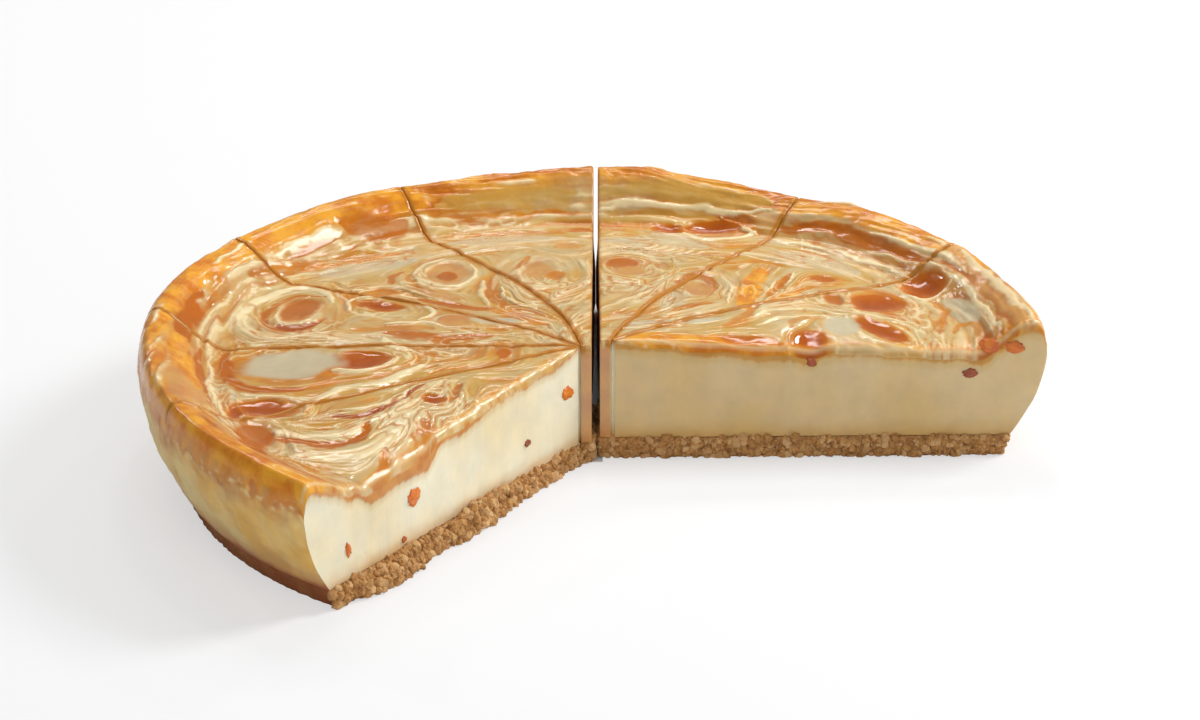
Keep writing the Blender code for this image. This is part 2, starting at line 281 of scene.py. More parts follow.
        ("amber", 0.034, 0.9, (0.61, 0.38), (0.66, 0.37), (0.69, 0.33)),
        ("caramel", 0.026, 0.8, (0.61, 0.25), (0.65, 0.235), (0.69, 0.20)),
        ("caramel", 0.040, 0.9, (0.43, 0.755), (0.52, 0.725), (0.59, 0.675), (0.66, 0.60),
         (0.72, 0.53), (0.77, 0.47)),
        ("golden", 0.050, 0.9, (0.44, 0.80), (0.55, 0.765), (0.65, 0.69), (0.73, 0.60), (0.79, 0.52)),
        ("tan", 0.014, 0.8, (0.50, 0.69), (0.58, 0.63), (0.68, 0.54), (0.75, 0.475)),
        ("cream", 0.016, 0.9, (0.42, 0.715), (0.52, 0.66), (0.61, 0.585), (0.69, 0.51)),
        ("pale", 0.090, 0.6, (0.44, 0.63), (0.52, 0.58), (0.60, 0.50)),
        ("caramel", 0.016, 0.8, (0.80, 0.46), (0.85, 0.36), (0.885, 0.25), (0.91, 0.12), (0.93, 0.04)),
        ("cream", 0.013, 0.9, (0.77, 0.46), (0.83, 0.35), (0.87, 0.22), (0.895, 0.08)),
        ("tan", 0.070, 0.9, (0.86, 0.42), (0.90, 0.30), (0.94, 0.15), (0.955, 0.04)),
        ("cream", 0.026, 0.8, (0.84, 0.47), (0.90, 0.33), (0.945, 0.18), (0.965, 0.05)),
        ("pale", 0.050, 0.8, (0.80, 0.31), (0.835, 0.24), (0.85, 0.17)),
        ("amber", 0.026, 0.8, (0.765, 0.34), (0.785, 0.27), (0.78, 0.20), (0.765, 0.13)),
        ("tan", 0.050, 0.5, (0.70, 0.32), (0.715, 0.25), (0.73, 0.17)),
        ("cream", 0.013, 0.9, (0.33, 0.17), (0.40, 0.225), (0.49, 0.24), (0.57, 0.21)),
        ("cream", 0.011, 0.8, (0.36, 0.13), (0.42, 0.185), (0.50, 0.205), (0.555, 0.18)),
        ("tan", 0.022, 0.9, (0.43, 0.13), (0.455, 0.18), (0.51, 0.185)),
        ("amber", 0.030, 0.8, (0.29, 0.13), (0.33, 0.18), (0.36, 0.25)),
        ("golden", 0.070, 1.0, (0.05, 0.05), (0.15, 0.05), (0.25, 0.035), (0.35, 0.035), (0.44, 0.03)),
        ("pale", 0.030, 0.9, (0.05, 0.115), (0.12, 0.135), (0.20, 0.15), (0.28, 0.17)),
        ("amber", 0.024, 0.8, (0.80, 0.13), (0.82, 0.18), (0.85, 0.15), (0.85, 0.10)),
        ("cream", 0.014, 0.9, (0.56, 0.21), (0.57, 0.13), (0.62, 0.07), (0.70, 0.04)),
        ("cream", 0.014, 0.8, (0.58, 0.36), (0.58, 0.28), (0.60, 0.22), (0.67, 0.20)),
        ("cream", 0.014, 0.8, (0.71, 0.35), (0.76, 0.33), (0.81, 0.38)),
    ],
    "ridge": {"cream": 0.45, "tan": 0.10, "pale": -0.05, "olive": -0.10, "amber": -0.18,
              "golden": 0.05, "caramel": -0.28, "deep": -0.35},  # height of a stroke, in mm
    "waver": 0.008,
    "threads": 1.25,
    "combCells": 900,
    "combSteps": 26,
}
kinds = ["cream", "pale", "tan", "olive", "amber", "golden", "caramel", "deep", "seam"]


def smoothPath(places, perSpan=8):
    # A curve through the places, as a spoon would go
    ends = [2 * places[0] - places[1], *places, 2 * places[-1] - places[-2]]
    path = []
    for a, b, c, d in zip(ends, ends[1:], ends[2:], ends[3:]):
        for step in range(perSpan):
            t = step / perSpan
            path.append(0.5 * (2 * b + (c - a) * t + (2 * a - 5 * b + 4 * c - d) * t**2
                               + (3 * b - a - 3 * c + d) * t**3))
    path.append(places[-1])
    return np.array(path)


def poolRing(middle, half, width, turn, share, count=28):
    turn = math.radians(turn)
    angles = np.linspace(0, 2 * math.pi, count)
    x, y = half * share * np.cos(angles), width * share * np.sin(angles)
    return np.stack([middle[0] + x * math.cos(turn) - y * math.sin(turn),
                     middle[1] + x * math.sin(turn) + y * math.cos(turn)], axis=1)


strokePaths = [smoothPath(np.array(places)) for _, _, _, *places in swirl["strokes"]]


def combField():
    # Which way the swirl runs at every place: along the strokes, round the pools and round the rim
    cells = swirl["combCells"]
    reach = 1.03
    step = 2 * reach / (cells - 1)
    paths = list(strokePaths)
    for _, middle, half, width, turn, _ in swirl["pools"]:
        paths += [poolRing(middle, half, width, turn, share) for share in (0.7, 1.1, 1.35)]
    weight = np.zeros((3, cells, cells))
    for path in paths:
        for start, end in zip(path, path[1:]):
            run = end - start
            count = max(1, int(np.hypot(*run) / (2 * step)))
            way = run / max(np.hypot(*run), 1e-9)
            for share in (np.arange(count) + 0.5) / count:
                place = start + run * share
                i = int(round((place[0] + reach) / step))
                j = int(round((place[1] + reach) / step))
                if 0 <= i < cells and 0 <= j < cells:
                    weight[:, j, i] += (way[0] ** 2, way[0] * way[1], way[1] ** 2)
    frequencies = np.fft.fftfreq(cells, step)
    fx, fy = np.meshgrid(frequencies, frequencies)
    spread = 0.028
    blur = np.exp(-2 * (math.pi * spread) ** 2 * (fx**2 + fy**2))
    weight = np.real(np.fft.ifft2(np.fft.fft2(weight) * blur))
    line = np.linspace(-reach, reach, cells)
    x, y = np.meshgrid(line, line)
    radius = np.hypot(x, y) + 1e-6
    # Without strokes near, it runs round the rim and spirals towards the middle
    lean = np.radians(50) * (1 - eased(radius, 0.55, 0.85)) + 0.5 * softNoise(x * 2.5, y * 2.5, 5)
    around = np.arctan2(x, -y) + lean
    ownWeight = 0.0008 + 0.02 * eased(radius, 0.84, 0.92)
    weight[0] += ownWeight * np.cos(around) ** 2
    weight[1] += ownWeight * np.cos(around) * np.sin(around)
    weight[2] += ownWeight * np.sin(around) ** 2
    angle = 0.5 * np.arctan2(2 * weight[1], weight[0] - weight[2])
    return {"reach": reach, "step": step, "cells": cells, "ways": np.stack([np.cos(angle), np.sin(angle)])}


def combedNoise(field, sizes, seed):
    # Noise of several sizes, drawn out along the swirl
    cells = field["cells"]
    chance = np.random.default_rng(seed)
    frequencies = np.fft.fftfreq(cells)
    fx, fy = np.meshgrid(frequencies, frequencies)
    layers = []
    for size in sizes:
        grain = np.real(np.fft.ifft2(np.fft.fft2(chance.standard_normal((cells, cells)))
                                     * np.exp(-2 * (math.pi * size) ** 2 * (fx**2 + fy**2))))
        layers.append(grain / grain.std())
    layers = np.stack(layers)
    total = layers.copy()
    rows, columns = np.mgrid[0:cells, 0:cells].astype(float)
    for direction in (1, -1):
        x, y = columns.copy(), rows.copy()
        wayX, wayY = direction * field["ways"][0], direction * field["ways"][1]
        for _ in range(swirl["combSteps"]):
            x += 1.6 * wayX
            y += 1.6 * wayY
            i = np.clip(np.rint(x).astype(int), 0, cells - 1)
            j = np.clip(np.rint(y).astype(int), 0, cells - 1)
            total += layers[:, j, i]
            nextX, nextY = field["ways"][0][j, i], field["ways"][1][j, i]
            same = np.where(nextX * wayX + nextY * wayY < 0, -1.0, 1.0)
            wayX, wayY = nextX * same, nextY * same
    return [layer / layer.std() for layer in total]


def readGrid(field, grid, x, y):
    column = np.clip((x + field["reach"]) / field["step"], 0, field["cells"] - 1.001)
    row = np.clip((y + field["reach"]) / field["step"], 0, field["cells"] - 1.001)
    i, j = column.astype(int), row.astype(int)
    partX, partY = column - i, row - j
    low = mixed(grid[j, i], grid[j, i + 1], partX)
    high = mixed(grid[j + 1, i], grid[j + 1, i + 1], partX)
    return mixed(low, high, partY)


comb = combField()
broadBands, midBands, fineBands = combedNoise(comb, (9.0, 3.2, 1.2), 11)
print("swirl combed")


def nearPath(x, y, path):
    # Distance to a path, and the share of its length at the nearest place
    nearest = np.full(x.shape, 9.0)
    share = np.zeros(x.shape)
    spans = len(path) - 1
    for n, (start, end) in enumerate(zip(path, path[1:])):
        run = end - start
        length = max(run @ run, 1e-12)
        along = np.clip(((x - start[0]) * run[0] + (y - start[1]) * run[1]) / length, 0, 1)
        distance = np.hypot(x - start[0] - run[0] * along, y - start[1] - run[1] * along)
        closer = distance < nearest
        nearest = np.where(closer, distance, nearest)
        share = np.where(closer, (n + along) / spans, share)
    return nearest, share


def lay(paint, kind, cover, where=slice(None)):
    # Lays one colour over what is there, as far as it covers
    for other in paint:
        paint[other][where] *= 1 - cover
    paint[kind][where] += cover


def paintTop(x, y):
    # Colours and relief of the top at places given in tin radii; relief in metres
    count = len(x)
    paint = {kind: np.zeros(count) for kind in kinds}
    radius = np.hypot(x, y)
    broad, mid, fine = (readGrid(comb, grid, x, y) for grid in (broadBands, midBands, fineBands))
    waver = swirl["waver"]
    wx = x + waver * softNoise(x * 14, y * 14, 21) + waver * 0.4 * softNoise(x * 40, y * 40, 22)
    wy = y + waver * softNoise(x * 14, y * 14, 23) + waver * 0.4 * softNoise(x * 40, y * 40, 24)
    relief = -0.10 * broad - 0.20 * mid + 0.05 * fine
    calm = np.ones(count)
    # A thin film of sauce over the whole, thicker in some bands
    lay(paint, "olive", 0.80 * eased(broad + 0.5 * mid, -0.3, 1.1))
    lay(paint, "amber", 0.70 * eased(broad + 0.7 * mid, 0.8, 1.9))
    lay(paint, "tan", 0.45 * eased(-broad + 0.6 * fine, 0.5, 1.9))
    lay(paint, "pale", 0.35 * eased(layeredNoise(x * 3, y * 3, 31) + 0.4 * mid, 0.4, 1.2))
    lay(paint, "cream", 0.50 * eased(-0.6 * broad - 0.8 * mid, 0.9, 1.9))
    # The rim, glazed gold and streaked along its length
    onRim = eased(radius + 0.012 * broad, 0.83, 0.90)
    lay(paint, "amber", onRim * (0.45 + 0.30 * np.clip(mid, -1, 1)))
    lay(paint, "golden", eased(radius + 0.014 * broad + 0.008 * mid, 0.90, 0.96) * 0.75)
    lay(paint, "caramel", onRim * 0.8 * eased(mid + 0.5 * broad, 0.6, 1.8))
    lay(paint, "cream", onRim * 0.8 * eased(-mid + 0.4 * fine, 0.9, 1.8))
    relief += onRim * (0.22 * np.sin(2.2 * mid) - 0.15 * broad + 0.09 * fine)
    # Thin folds that run round inside the rim
    bend = 0.55 * softNoise(np.arctan2(x, y) * 5, radius * 4, 36) + 0.12 * mid
    folds = np.sin(2 * math.pi * (radius * 30 + bend))
    patches = layeredNoise(np.arctan2(x, y) * 4, radius * 9, 37)
    within = bell(radius, 0.875, 0.045) * eased(patches, -0.5, 0.3)
    lay(paint, "cream", 0.85 * within * eased(folds, 0.55, 0.95))
    lay(paint, "caramel", 0.70 * within * eased(-folds, 0.45, 0.95))
    relief += 0.28 * within * folds
    for (kind, width, strength, *_), path in zip(swirl["strokes"], strokePaths):
        margin = width * 1.6 + 2 * waver
        low, high = path.min(axis=0) - margin, path.max(axis=0) + margin
        near = np.nonzero((wx > low[0]) & (wx < high[0]) & (wy > low[1]) & (wy < high[1]))[0]
        if not len(near):
            continue
        distance, share = nearPath(wx[near], wy[near], path)
        taper = 0.35 + 0.65 * np.clip(4 * share * (1 - share), 0, 1) ** 0.6
        edge = distance / (width / 2 * taper * (1 + 0.16 * mid[near] + 0.10 * fine[near]))
        cover = strength * (1 - eased(edge, 0.65, 1.25))
        lay(paint, kind, cover, near)
        hill = np.exp(-(edge**2))
        relief[near] = relief[near] * (1 - 0.6 * hill) + swirl["ridge"][kind] * hill * strength
    for kind, middle, half, width, turn, depth in swirl["pools"]:
        away = np.hypot(wx - middle[0], wy - middle[1])
        near = np.nonzero(away < 1.9 * max(half, width))[0]
        if not len(near):
            continue
        turned = math.radians(turn)
        dx, dy = wx[near] - middle[0], wy[near] - middle[1]
        along = dx * math.cos(turned) + dy * math.sin(turned)
        across = -dx * math.sin(turned) + dy * math.cos(turned)
        uneven = 1 + 0.10 * softNoise(x[near] * 18, y[near] * 18, 41)
        radii = np.hypot(along / half, across / width) * uneven
        radii *= 1 + 0.03 * mid[near]
        if kind == "deep":
            lay(paint, "amber", 0.8 * (1 - eased(radii, 1.0, 1.22)), near)
            lay(paint, "caramel", 1 - eased(radii, 0.88, 1.04), near)
            lay(paint, "deep", 0.65 * (1 - eased(radii, 0.35, 0.95)), near)
        else:
            lay(paint, kind, 0.9 * (1 - eased(radii, 0.75, 1.12)), near)
        inside = 1 - eased(radii, 0.8, 1.15)
        calm[near] = np.minimum(calm[near], 1 - 0.9 * inside)
        bowl = -depth * (1 - np.minimum(radii, 1) ** 2)
        fold = 0.35 * depth * bell(radii, 1.25, 0.20)
        relief[near] = relief[near] * (1 - inside) + bowl + fold
    # Thin bright threads of filling and thin dark ones of sauce between them, side by side
    threads = calm * (1 - 0.6 * paint["deep"] - 0.5 * paint["caramel"]) * (1 - 0.9 * onRim)
    turn = 2 * math.pi * (swirl["threads"] * broad + 0.45 * mid + 0.5 * softNoise(x * 4, y * 4, 33))
    strand = np.sin(turn)
    shown = threads * eased(layeredNoise(x * 4.5, y * 4.5, 35), -0.35, 0.45)
    lay(paint, "cream", 0.75 * shown * eased(strand, 0.72, 0.98))
    lay(paint, "amber", 0.60 * shown * eased(-strand, 0.55, 0.95))
    lay(paint, "caramel", 0.55 * shown * eased(-strand, 0.90, 1.0))
    relief += shown * (0.13 * np.maximum(strand, 0) ** 3 - 0.08 * np.maximum(-strand, 0) ** 2)
    lay(paint, "cream", 0.55 * threads * eased(fine + 0.35 * mid, 1.25, 2.2))
    lay(paint, "amber", 0.40 * threads * eased(-fine - 0.35 * mid, 1.3, 2.3))
    return paint, relief * mm


# The shape of the cake's top and side
def rimHeight(angle):
    marks = {place: height * mm for place, height in cake["rimHeights"].items()}
    return throughMarks(marks, angle)


def topHeight(x, y):
    radius = np.hypot(x, y)
    crown = cake["centreHeight"] - cake["troughDrop"] * (radius / cake["troughRadius"]) ** 2
    climb = np.clip((radius - cake["rimFoot"]) / (cake["rimCrest"] - cake["rimFoot"]), 0, 1)
    rise = 0.5 - 0.5 * np.cos(math.pi * climb)
    crest = rimHeight(np.degrees(np.arctan2(x, y)))
    beyond = (radius - cake["rimCrest"]) / (sideRadius(1.0) - cake["rimCrest"])
    fall = cake["lipDrop"] * np.maximum(0, beyond) ** 2
    return mixed(crown, crest, rise) - fall


def sideRadius(share):
    lip = max(0.0, (share - cake["lipStart"]) / (1 - cake["lipStart"]))
    return cake["tinRadius"] - cake["sideTaper"] * (1 - share) ** 2 - cake["lipInset"] * lip**2


def cutEdge(half, angle, inner, radius, inset):
    sign = -1 if half == "left" else 1
    if angle == 0:
        start = Vector((sign * cake["gapCentre"] / 2, cake["meeting"][half][1]))
        rim = Vector((sign * cake["gapRim"] / 2, cake["tinRadius"]))
        along = (rim - start).normalized()
        inner, inset = 0.0, 0.0
    else:
        start = Vector(cake["meeting"][half])
        along = Vector((math.sin(math.radians(angle)), math.cos(math.radians(angle))))
    start = start + Vector((along.y, -along.x)) * inset
    near = -start.dot(along)
    reach = near + math.sqrt(near**2 + radius**2 - start.length_squared)
    return np.array(start + along * inner), np.array(start + along * reach)


def wedgeCorners(half, first, second, radius):
    turn = 1 if half == "right" else -1
    last = cake["cuts"][half][-1]
    blunt = 0.0 if first == 0 else cake["tipBlunt"]
    start = cutEdge(half, first, cake["tipBlunt"], radius, turn * cake["kerf"] / 2)
    end = cutEdge(half, second, blunt, radius, 0.0 if second == last else -turn * cake["kerf"] / 2)
    bows = [-turn * cake["bows"][half].get(cut, 0.0) for cut in (first, second)]
    return (*start, *end), bows, cake["meeting"][half]


def planPlaces(plan, across, along):
    (innerA, outerA, innerB, outerB), bows, meeting = plan
    angleA, angleB = math.atan2(*outerA), math.atan2(*outerB)
    angle = mixed(angleA, angleB, across)
    radius = np.hypot(*outerA)
    innerX, innerY = mixed(innerA[0], innerB[0], across), mixed(innerA[1], innerB[1], across)
    x, y = mixed(innerX, radius * np.sin(angle), along), mixed(innerY, radius * np.cos(angle), along)
    share = np.minimum(1, np.hypot(x - meeting[0], y - meeting[1]) / cake["tinRadius"])
    fullBow = 6.75  # one over the most that share * (1 - share) ** 2 comes to
    aside = mixed(*bows, across) * fullBow * share * (1 - share) ** 2
    return x + np.cos(angle) * aside, y - np.sin(angle) * aside


# One slice of filling
wedge = {
    "rows": 300,
    "columns": 136,
    "edgeSteps": [0, 0.12, 0.28, 0.48, 0.72, 1.0, 1.35, 1.75, 2.2, 2.7, 3.3],  # from a cut, in mm
    "lipSteps": [0, 0.18, 0.4, 0.65, 0.95, 1.3, 1.7, 2.15, 2.65, 3.2],  # from the outer edge, in mm
    "levels": 18,
    "shownLevels": 50,
    "cutRound": 0.8,  # how far a cut edge is rounded, in mm
    "gapRound": 0.7,
    "shownRound": 2.0,
    "lipRound": 2.4,
}
# How far the sauce was dragged down each face that shows, in mm by distance from the middle
drag = {
    "left": {0: 1.0, 12: 2.0, 30: 1.0, 45: 1.2, 54: 3.4, 66: 2.6, 72: 7.5, 84: 6.5,
             98: 6.5, 103: 2.4, 108: 3.0, 112: 1.5, 116: 3.0, 124: 2.0},
    "right": {0: 5.0, 6: 3.2, 14: 2.4, 30: 3.2, 45: 4.0, 56: 4.4, 62: 2.0, 75: 1.5,
              86: 2.6, 100: 2.0, 108: 3.5, 115: 2.0, 124: 2.0},
}


def roundDrop(distance, size):
    share = np.clip(distance / np.maximum(size, 1e-6), 0, 1)
    return size * (1 - np.sqrt(np.maximum(0, 1 - (1 - share) ** 2)))


def sliceSkin(half, first, second):
    # The skin of one slice: its places, faces and what each place is coloured with
    cuts = cake["cuts"][half]
    shown = {"first": False, "second": second == cuts[-1]}
    top = wedgeCorners(half, first, second, sideRadius(1.0))
    length = np.hypot(*(top[0][1] - top[0][0]))
    lip = 1 - np.array(wedge["lipSteps"][::-1]) * mm / length
    along = np.concatenate([np.linspace(0, lip[0], wedge["rows"], endpoint=False), lip])
    rows = len(along)
    startX, startY = planPlaces(top, 0.0, along)
    endX, endY = planPlaces(top, 1.0, along)
    width = np.hypot(endX - startX, endY - startY)
    steps = np.array(wedge["edgeSteps"]) * mm
    near = steps[None, :] * np.minimum(1, width / (steps[-1] * 3.5))[:, None] / width[:, None]
    middle = np.linspace(0, 1, wedge["columns"] + 2)[1:-1]
    inner = near[:, -1:] + (1 - 2 * near[:, -1:]) * middle[None, :]
    across = np.concatenate([near, inner, 1 - near[:, ::-1]], axis=1)
    columns = across.shape[1]
    x, y = planPlaces(top, across, along[:, None])
    tin = cake["tinRadius"]
    paint, relief = paintTop(x.ravel() / tin, y.ravel() / tin)
    relief = relief.reshape(x.shape)
    fromFirst = across * width[:, None]
    fromSecond = (1 - across) * width[:, None]
    fromLip = (1 - along[:, None]) * length
    fromTip = along[:, None] * length
    tight = 0.3 * width[:, None]
    firstSize = np.minimum((wedge["gapRound"] if first == 0 else wedge["cutRound"]) * mm, tight)
    ragged = 1 + 0.35 * softNoise(fromTip / (9 * mm), 0 * fromTip + second, 51)
    firstSize = firstSize * ragged
    if shown["second"]:
        down = throughMarks(drag[half], fromTip / mm) * mm
        secondSize = np.minimum(wedge["shownRound"] * mm * ragged, tight)
        slump = 0.5 * down * np.exp(-fromSecond / (5 * mm)) * eased(width[:, None], 8 * mm, 20 * mm)
    else:
        secondSize = np.minimum(wedge["cutRound"] * mm * ragged, tight)
        slump = 0.0
    height = topHeight(x, y) + relief * eased(width[:, None], 0, 6 * mm)
    height -= roundDrop(fromFirst, firstSize) + roundDrop(fromSecond, secondSize) + slump
    height -= roundDrop(fromLip, wedge["lipRound"] * mm)
    if first == 0:
        height -= roundDrop(fromTip + 0 * across, 1.2 * mm)
    # Sauce caught in the cuts
    grooveWidth = 1.25 * mm * (1 + 0.3 * softNoise(fromTip / (7 * mm), 0 * fromTip, 52))
    groove = bell(fromFirst, 0, grooveWidth) * (1.0 if first != 0 else 0.35)
    if not shown["second"]:
        groove = np.maximum(groove, bell(fromSecond, 0, grooveWidth))
    else:
        # Along the top edge of a face that shows: a band of golden glaze, and a thin cream line that is a
        # painted highlight on the rounded edge
        lay(paint, "golden", 0.45 * bell(fromSecond, 1.6 * mm, 1.2 * mm).ravel())
        lay(paint, "cream", 0.5 * bell(fromSecond, 0.9 * mm, 0.5 * mm).ravel())
    lay(paint, "seam", 0.95 * eased(groove.ravel(), 0.1, 0.6))

    bottom = cake["biscuitTop"] + cake["layerGap"] / 2
    places = [np.stack([x.ravel(), y.ravel(), height.ravel()], axis=1)]
    marks = {"zone": [np.zeros(x.size)], "down": [np.zeros(x.size)], "reach": [np.repeat(along, columns)],
             "rise": [np.ones(x.size)], "shown": [np.zeros(x.size)]}
    count = x.size
    index = {"top": np.arange(count).reshape(rows, columns)}

    def addWall(name, shareAcross, shareAlong, topZ, zone, levels):
        # Rows of places from the biscuit up to just under the top edge
        nonlocal count
        made = []
        for level in range(levels):
            share = level / levels
            corners = wedgeCorners(half, first, second, sideRadius(share))
            wallX, wallY = planPlaces(corners, shareAcross, shareAlong)
            wallX, wallY = wallX + 0 * topZ, wallY + 0 * topZ
            wallZ = mixed(bottom, topZ, share)
            places.append(np.stack([wallX, wallY, wallZ], axis=1))
            marks["zone"].append(np.full(len(topZ), zone))
            marks["down"].append(topZ - wallZ)
            marks["reach"].append(shareAlong + 0 * topZ)
            marks["rise"].append(np.full(len(topZ), share))
            marks["shown"].append(np.full(len(topZ), float(name == "second" and shown["second"])))
            made.append(np.arange(count, count + len(topZ)))
            count += len(topZ)
        index[name] = np.array(made)

    levels = wedge["shownLevels"] if shown["second"] else wedge["levels"]
    addWall("first", 0.0, along, height[:, 0], 1.0, levels)
    addWall("second", 1.0, along, height[:, -1], 1.0, levels)
    addWall("outer", across[-1, 1:-1], 1.0, height[-1, 1:-1], 2.0, levels)
    addWall("tip", across[0, 1:-1], 0.0, height[0, 1:-1], 1.0, levels)
    places = np.concatenate(places)
    marks = {name: np.concatenate(parts) for name, parts in marks.items()}

    firstWall = np.vstack([index["first"], index["top"][:, 0]])
    secondWall = np.vstack([index["second"], index["top"][:, -1]])
    outerWall = np.vstack([index["outer"], index["top"][-1, 1:-1]])
    outerWall = np.hstack([firstWall[:, -1:], outerWall, secondWall[:, -1:]])
    tipWall = np.vstack([index["tip"], index["top"][0, 1:-1]])
    tipWall = np.hstack([firstWall[:, :1], tipWall, secondWall[:, :1]])

    def quads(grid, turned):
        a, b = grid[:-1, :-1].ravel(), grid[1:, :-1].ravel()
        c, d = grid[1:, 1:].ravel(), grid[:-1, 1:].ravel()
        return np.stack([d, c, b, a] if turned else [a, b, c, d], axis=1)

    faces = [quads(index["top"], False), quads(firstWall.T, False), quads(secondWall.T, True),
             quads(outerWall.T, False), quads(tipWall.T, True)]
    faces = np.concatenate(faces)
    ring = np.concatenate([firstWall[0, :-1], outerWall[0, :-1], secondWall[0, :0:-1], tipWall[0, :0:-1]])
    return places, faces, ring, paint, marks


def finishWalls(places, marks, half, first, paint):
    # Colours and unevenness of the walls: cut faces (zone 1) and the baked side (zone 2)
    cuts = cake["cuts"][half]
    count = len(places)
    topCount = len(paint["cream"])
    full = {kind: np.concatenate([values, np.zeros(count - topCount)]) for kind, values in paint.items()}
    full["brown"], full["burnt"] = np.zeros(count), np.zeros(count)
    x, y, z = places.T
    radius = np.hypot(x, y)
    angle = np.degrees(np.arctan2(x, y))
    zone, down = marks["zone"], marks["down"]
    side = np.nonzero(zone == 2)[0]
    walked, deep = angle[side] * math.pi / 180 * cake["tinRadius"] / mm, down[side] / mm
    lumps = layeredNoise(walked / 14, z[side] / mm / 9, 61)
    folds = layeredNoise(walked / 5, z[side] / mm / 16, 64)
    outward = 0.45 * lumps + 0.25 * folds + 0.22 * layeredNoise(walked / 3.2, down[side] / mm / 1.8, 91, 2)
    outward *= np.sin(math.pi * marks["rise"][side]) ** 0.5
    push = outward * mm
    places[side, 0] += push * x[side] / radius[side]
    places[side, 1] += push * y[side] / radius[side]
    glazeEdge = 4.5 + 2.2 * layeredNoise(walked / 11, 0 * walked, 67)
    glazeEdge = glazeEdge + softNoise(walked / 3, deep / 4, 68)
    glaze = 1 - eased(deep, glazeEdge - 1.2, glazeEdge + 1.0)
    below = 1 - eased(deep, glazeEdge + 2.5, glazeEdge + 7.0)
    lay(full, "brown", 0.75 * below * eased(lumps, -0.7, 0.7), side)
    lay(full, "golden", 0.85 * glaze, side)
    lay(full, "tan", 0.6 * glaze * eased(folds, 0.1, 0.7), side)
    lay(full, "caramel", 0.6 * glaze * eased(-folds, 0.2, 0.8), side)
    # Its lower edge is blistered, with brown, pink and pale spots
    blisters = layeredNoise(walked / 3.2, deep / 1.8, 91)
    edging = bell(deep, glazeEdge - 0.2, 1.7)
    lay(full, "brown", 0.85 * edging * eased(blisters, -0.5, 0.3), side)
    lay(full, "cream", 0.75 * edging * eased(-blisters, 0.25, 0.75), side)
    lay(full, "caramel", 0.70 * edging * eased(blisters, 0.45, 0.95), side)
    low = z[side] / mm - cake["biscuitTop"] / mm
    lay(full, "brown", 0.60 * (1 - eased(low + 2.0 * lumps, 1.5, 11.0)), side)
    lay(full, "burnt", 0.85 * (1 - eased(low + 1.2 * lumps, 0.0, 3.0)), side)

    cut = np.nonzero(zone == 1)[0]
    reach = np.hypot(x[cut] - cake["meeting"][half][0], y[cut] - cake["meeting"][half][1]) / mm
    deep = down[cut] / mm
    shownCut = marks["shown"][cut] > 0
    fall = np.where(shownCut, throughMarks(drag[half], reach) * 0.5, 0.8)
    fall = fall + 0.5 * softNoise(reach / 2.2, 0 * reach, 71) + 0.35 * softNoise(reach / 0.9, deep / 3, 72)
    dripped = 1 - eased(deep, fall - 0.5, fall + 0.6)
    lay(full, "olive", 0.35 * (1 - eased(deep, fall + 0.5, fall + 3.0)), cut)
    lay(full, "amber", 0.85 * dripped, cut)
    lay(full, "caramel", 0.5 * dripped * eased(softNoise(reach / 6, deep / 3, 73), 0, 0.6), cut)
    low = z[cut] / mm - cake["biscuitTop"] / mm
    soaked = 1 - eased(low + 1.0 * softNoise(reach / 6, low / 3, 74), -0.5, 6.5)
    lay(full, "olive", 0.35 * soaked, cut)
    lay(full, "tan", 0.45 * soaked**2, cut)
    if first == 0:
        # The narrow strips beside the gap took up sauce. The walls inside the gap between the halves are
        # darkened with the burnt colour: some sauce, but mostly painted shade of the narrow gap
        strip = marks["reach"][cut] < 0.001
        lay(full, "tan", 0.50 * strip, cut)
        lay(full, "amber", 0.50 * strip, cut)
        inGap = (np.abs(x[cut]) < 1.6 * mm) & (marks["reach"][cut] > 0.004)
        # painted shade: the walls deep in the gap, laid in the burnt colour
        lay(full, "burnt", 0.85 * inGap, cut)
        # Low down at the back the halves still touch
        touching = inGap * eased(deep, 22, 32) * eased(y[cut] / cake["tinRadius"], 0.30, 0.60)
        places[cut, 0] -= 0.97 * touching * x[cut]
    # The face that shows on the right half is laid over with olive: partly its own warmer tone, partly
    # painted shade, as it faces away from the key lamp
    if half == "right":
        lay(full, "olive", 0.58 * shownCut, cut)
    # The knife's faint drag, square to the face that shows
    wave = 0.03 * softNoise(reach / 3.0, low / 40, 75) + 0.015 * softNoise(reach / 0.8, low / 30, 76)
    wave += 0.22 * dripped + 0.18 * softNoise(reach / 7, low / 6, 77)
    pits = softNoise(reach / 1.1, low / 1.1, 78)
    wave -= 0.30 * eased(pits, 0.72, 1.0)
    face = np.array([math.cos(math.radians(cuts[-1])), -math.sin(math.radians(cuts[-1]))])
    face *= 1 if half == "right" else -1
    push = np.where(shownCut, wave, 0) * mm * eased(low, 0, 1.5) * eased(deep, 0, 1.0)
    places[cut, 0] += push * face[0]
    places[cut, 1] += push * face[1]
    marks["cut"] = (zone == 1).astype(float)
    marks["wall"] = (zone == 2).astype(float)
    marks["bare"] = np.clip(1 - sum(full.values()), 0, 1)
    return full


def linked(name, data):
    obj = bpy.data.objects.new(name, data)
    bpy.context.scene.collection.objects.link(obj)
    return obj


def keepMarks(mesh, attributes):
    for attribute, values in attributes.items():
        layer = mesh.attributes.new(attribute, "FLOAT", "POINT")
        layer.data.foreach_set("value", np.asarray(values, dtype=np.float32))


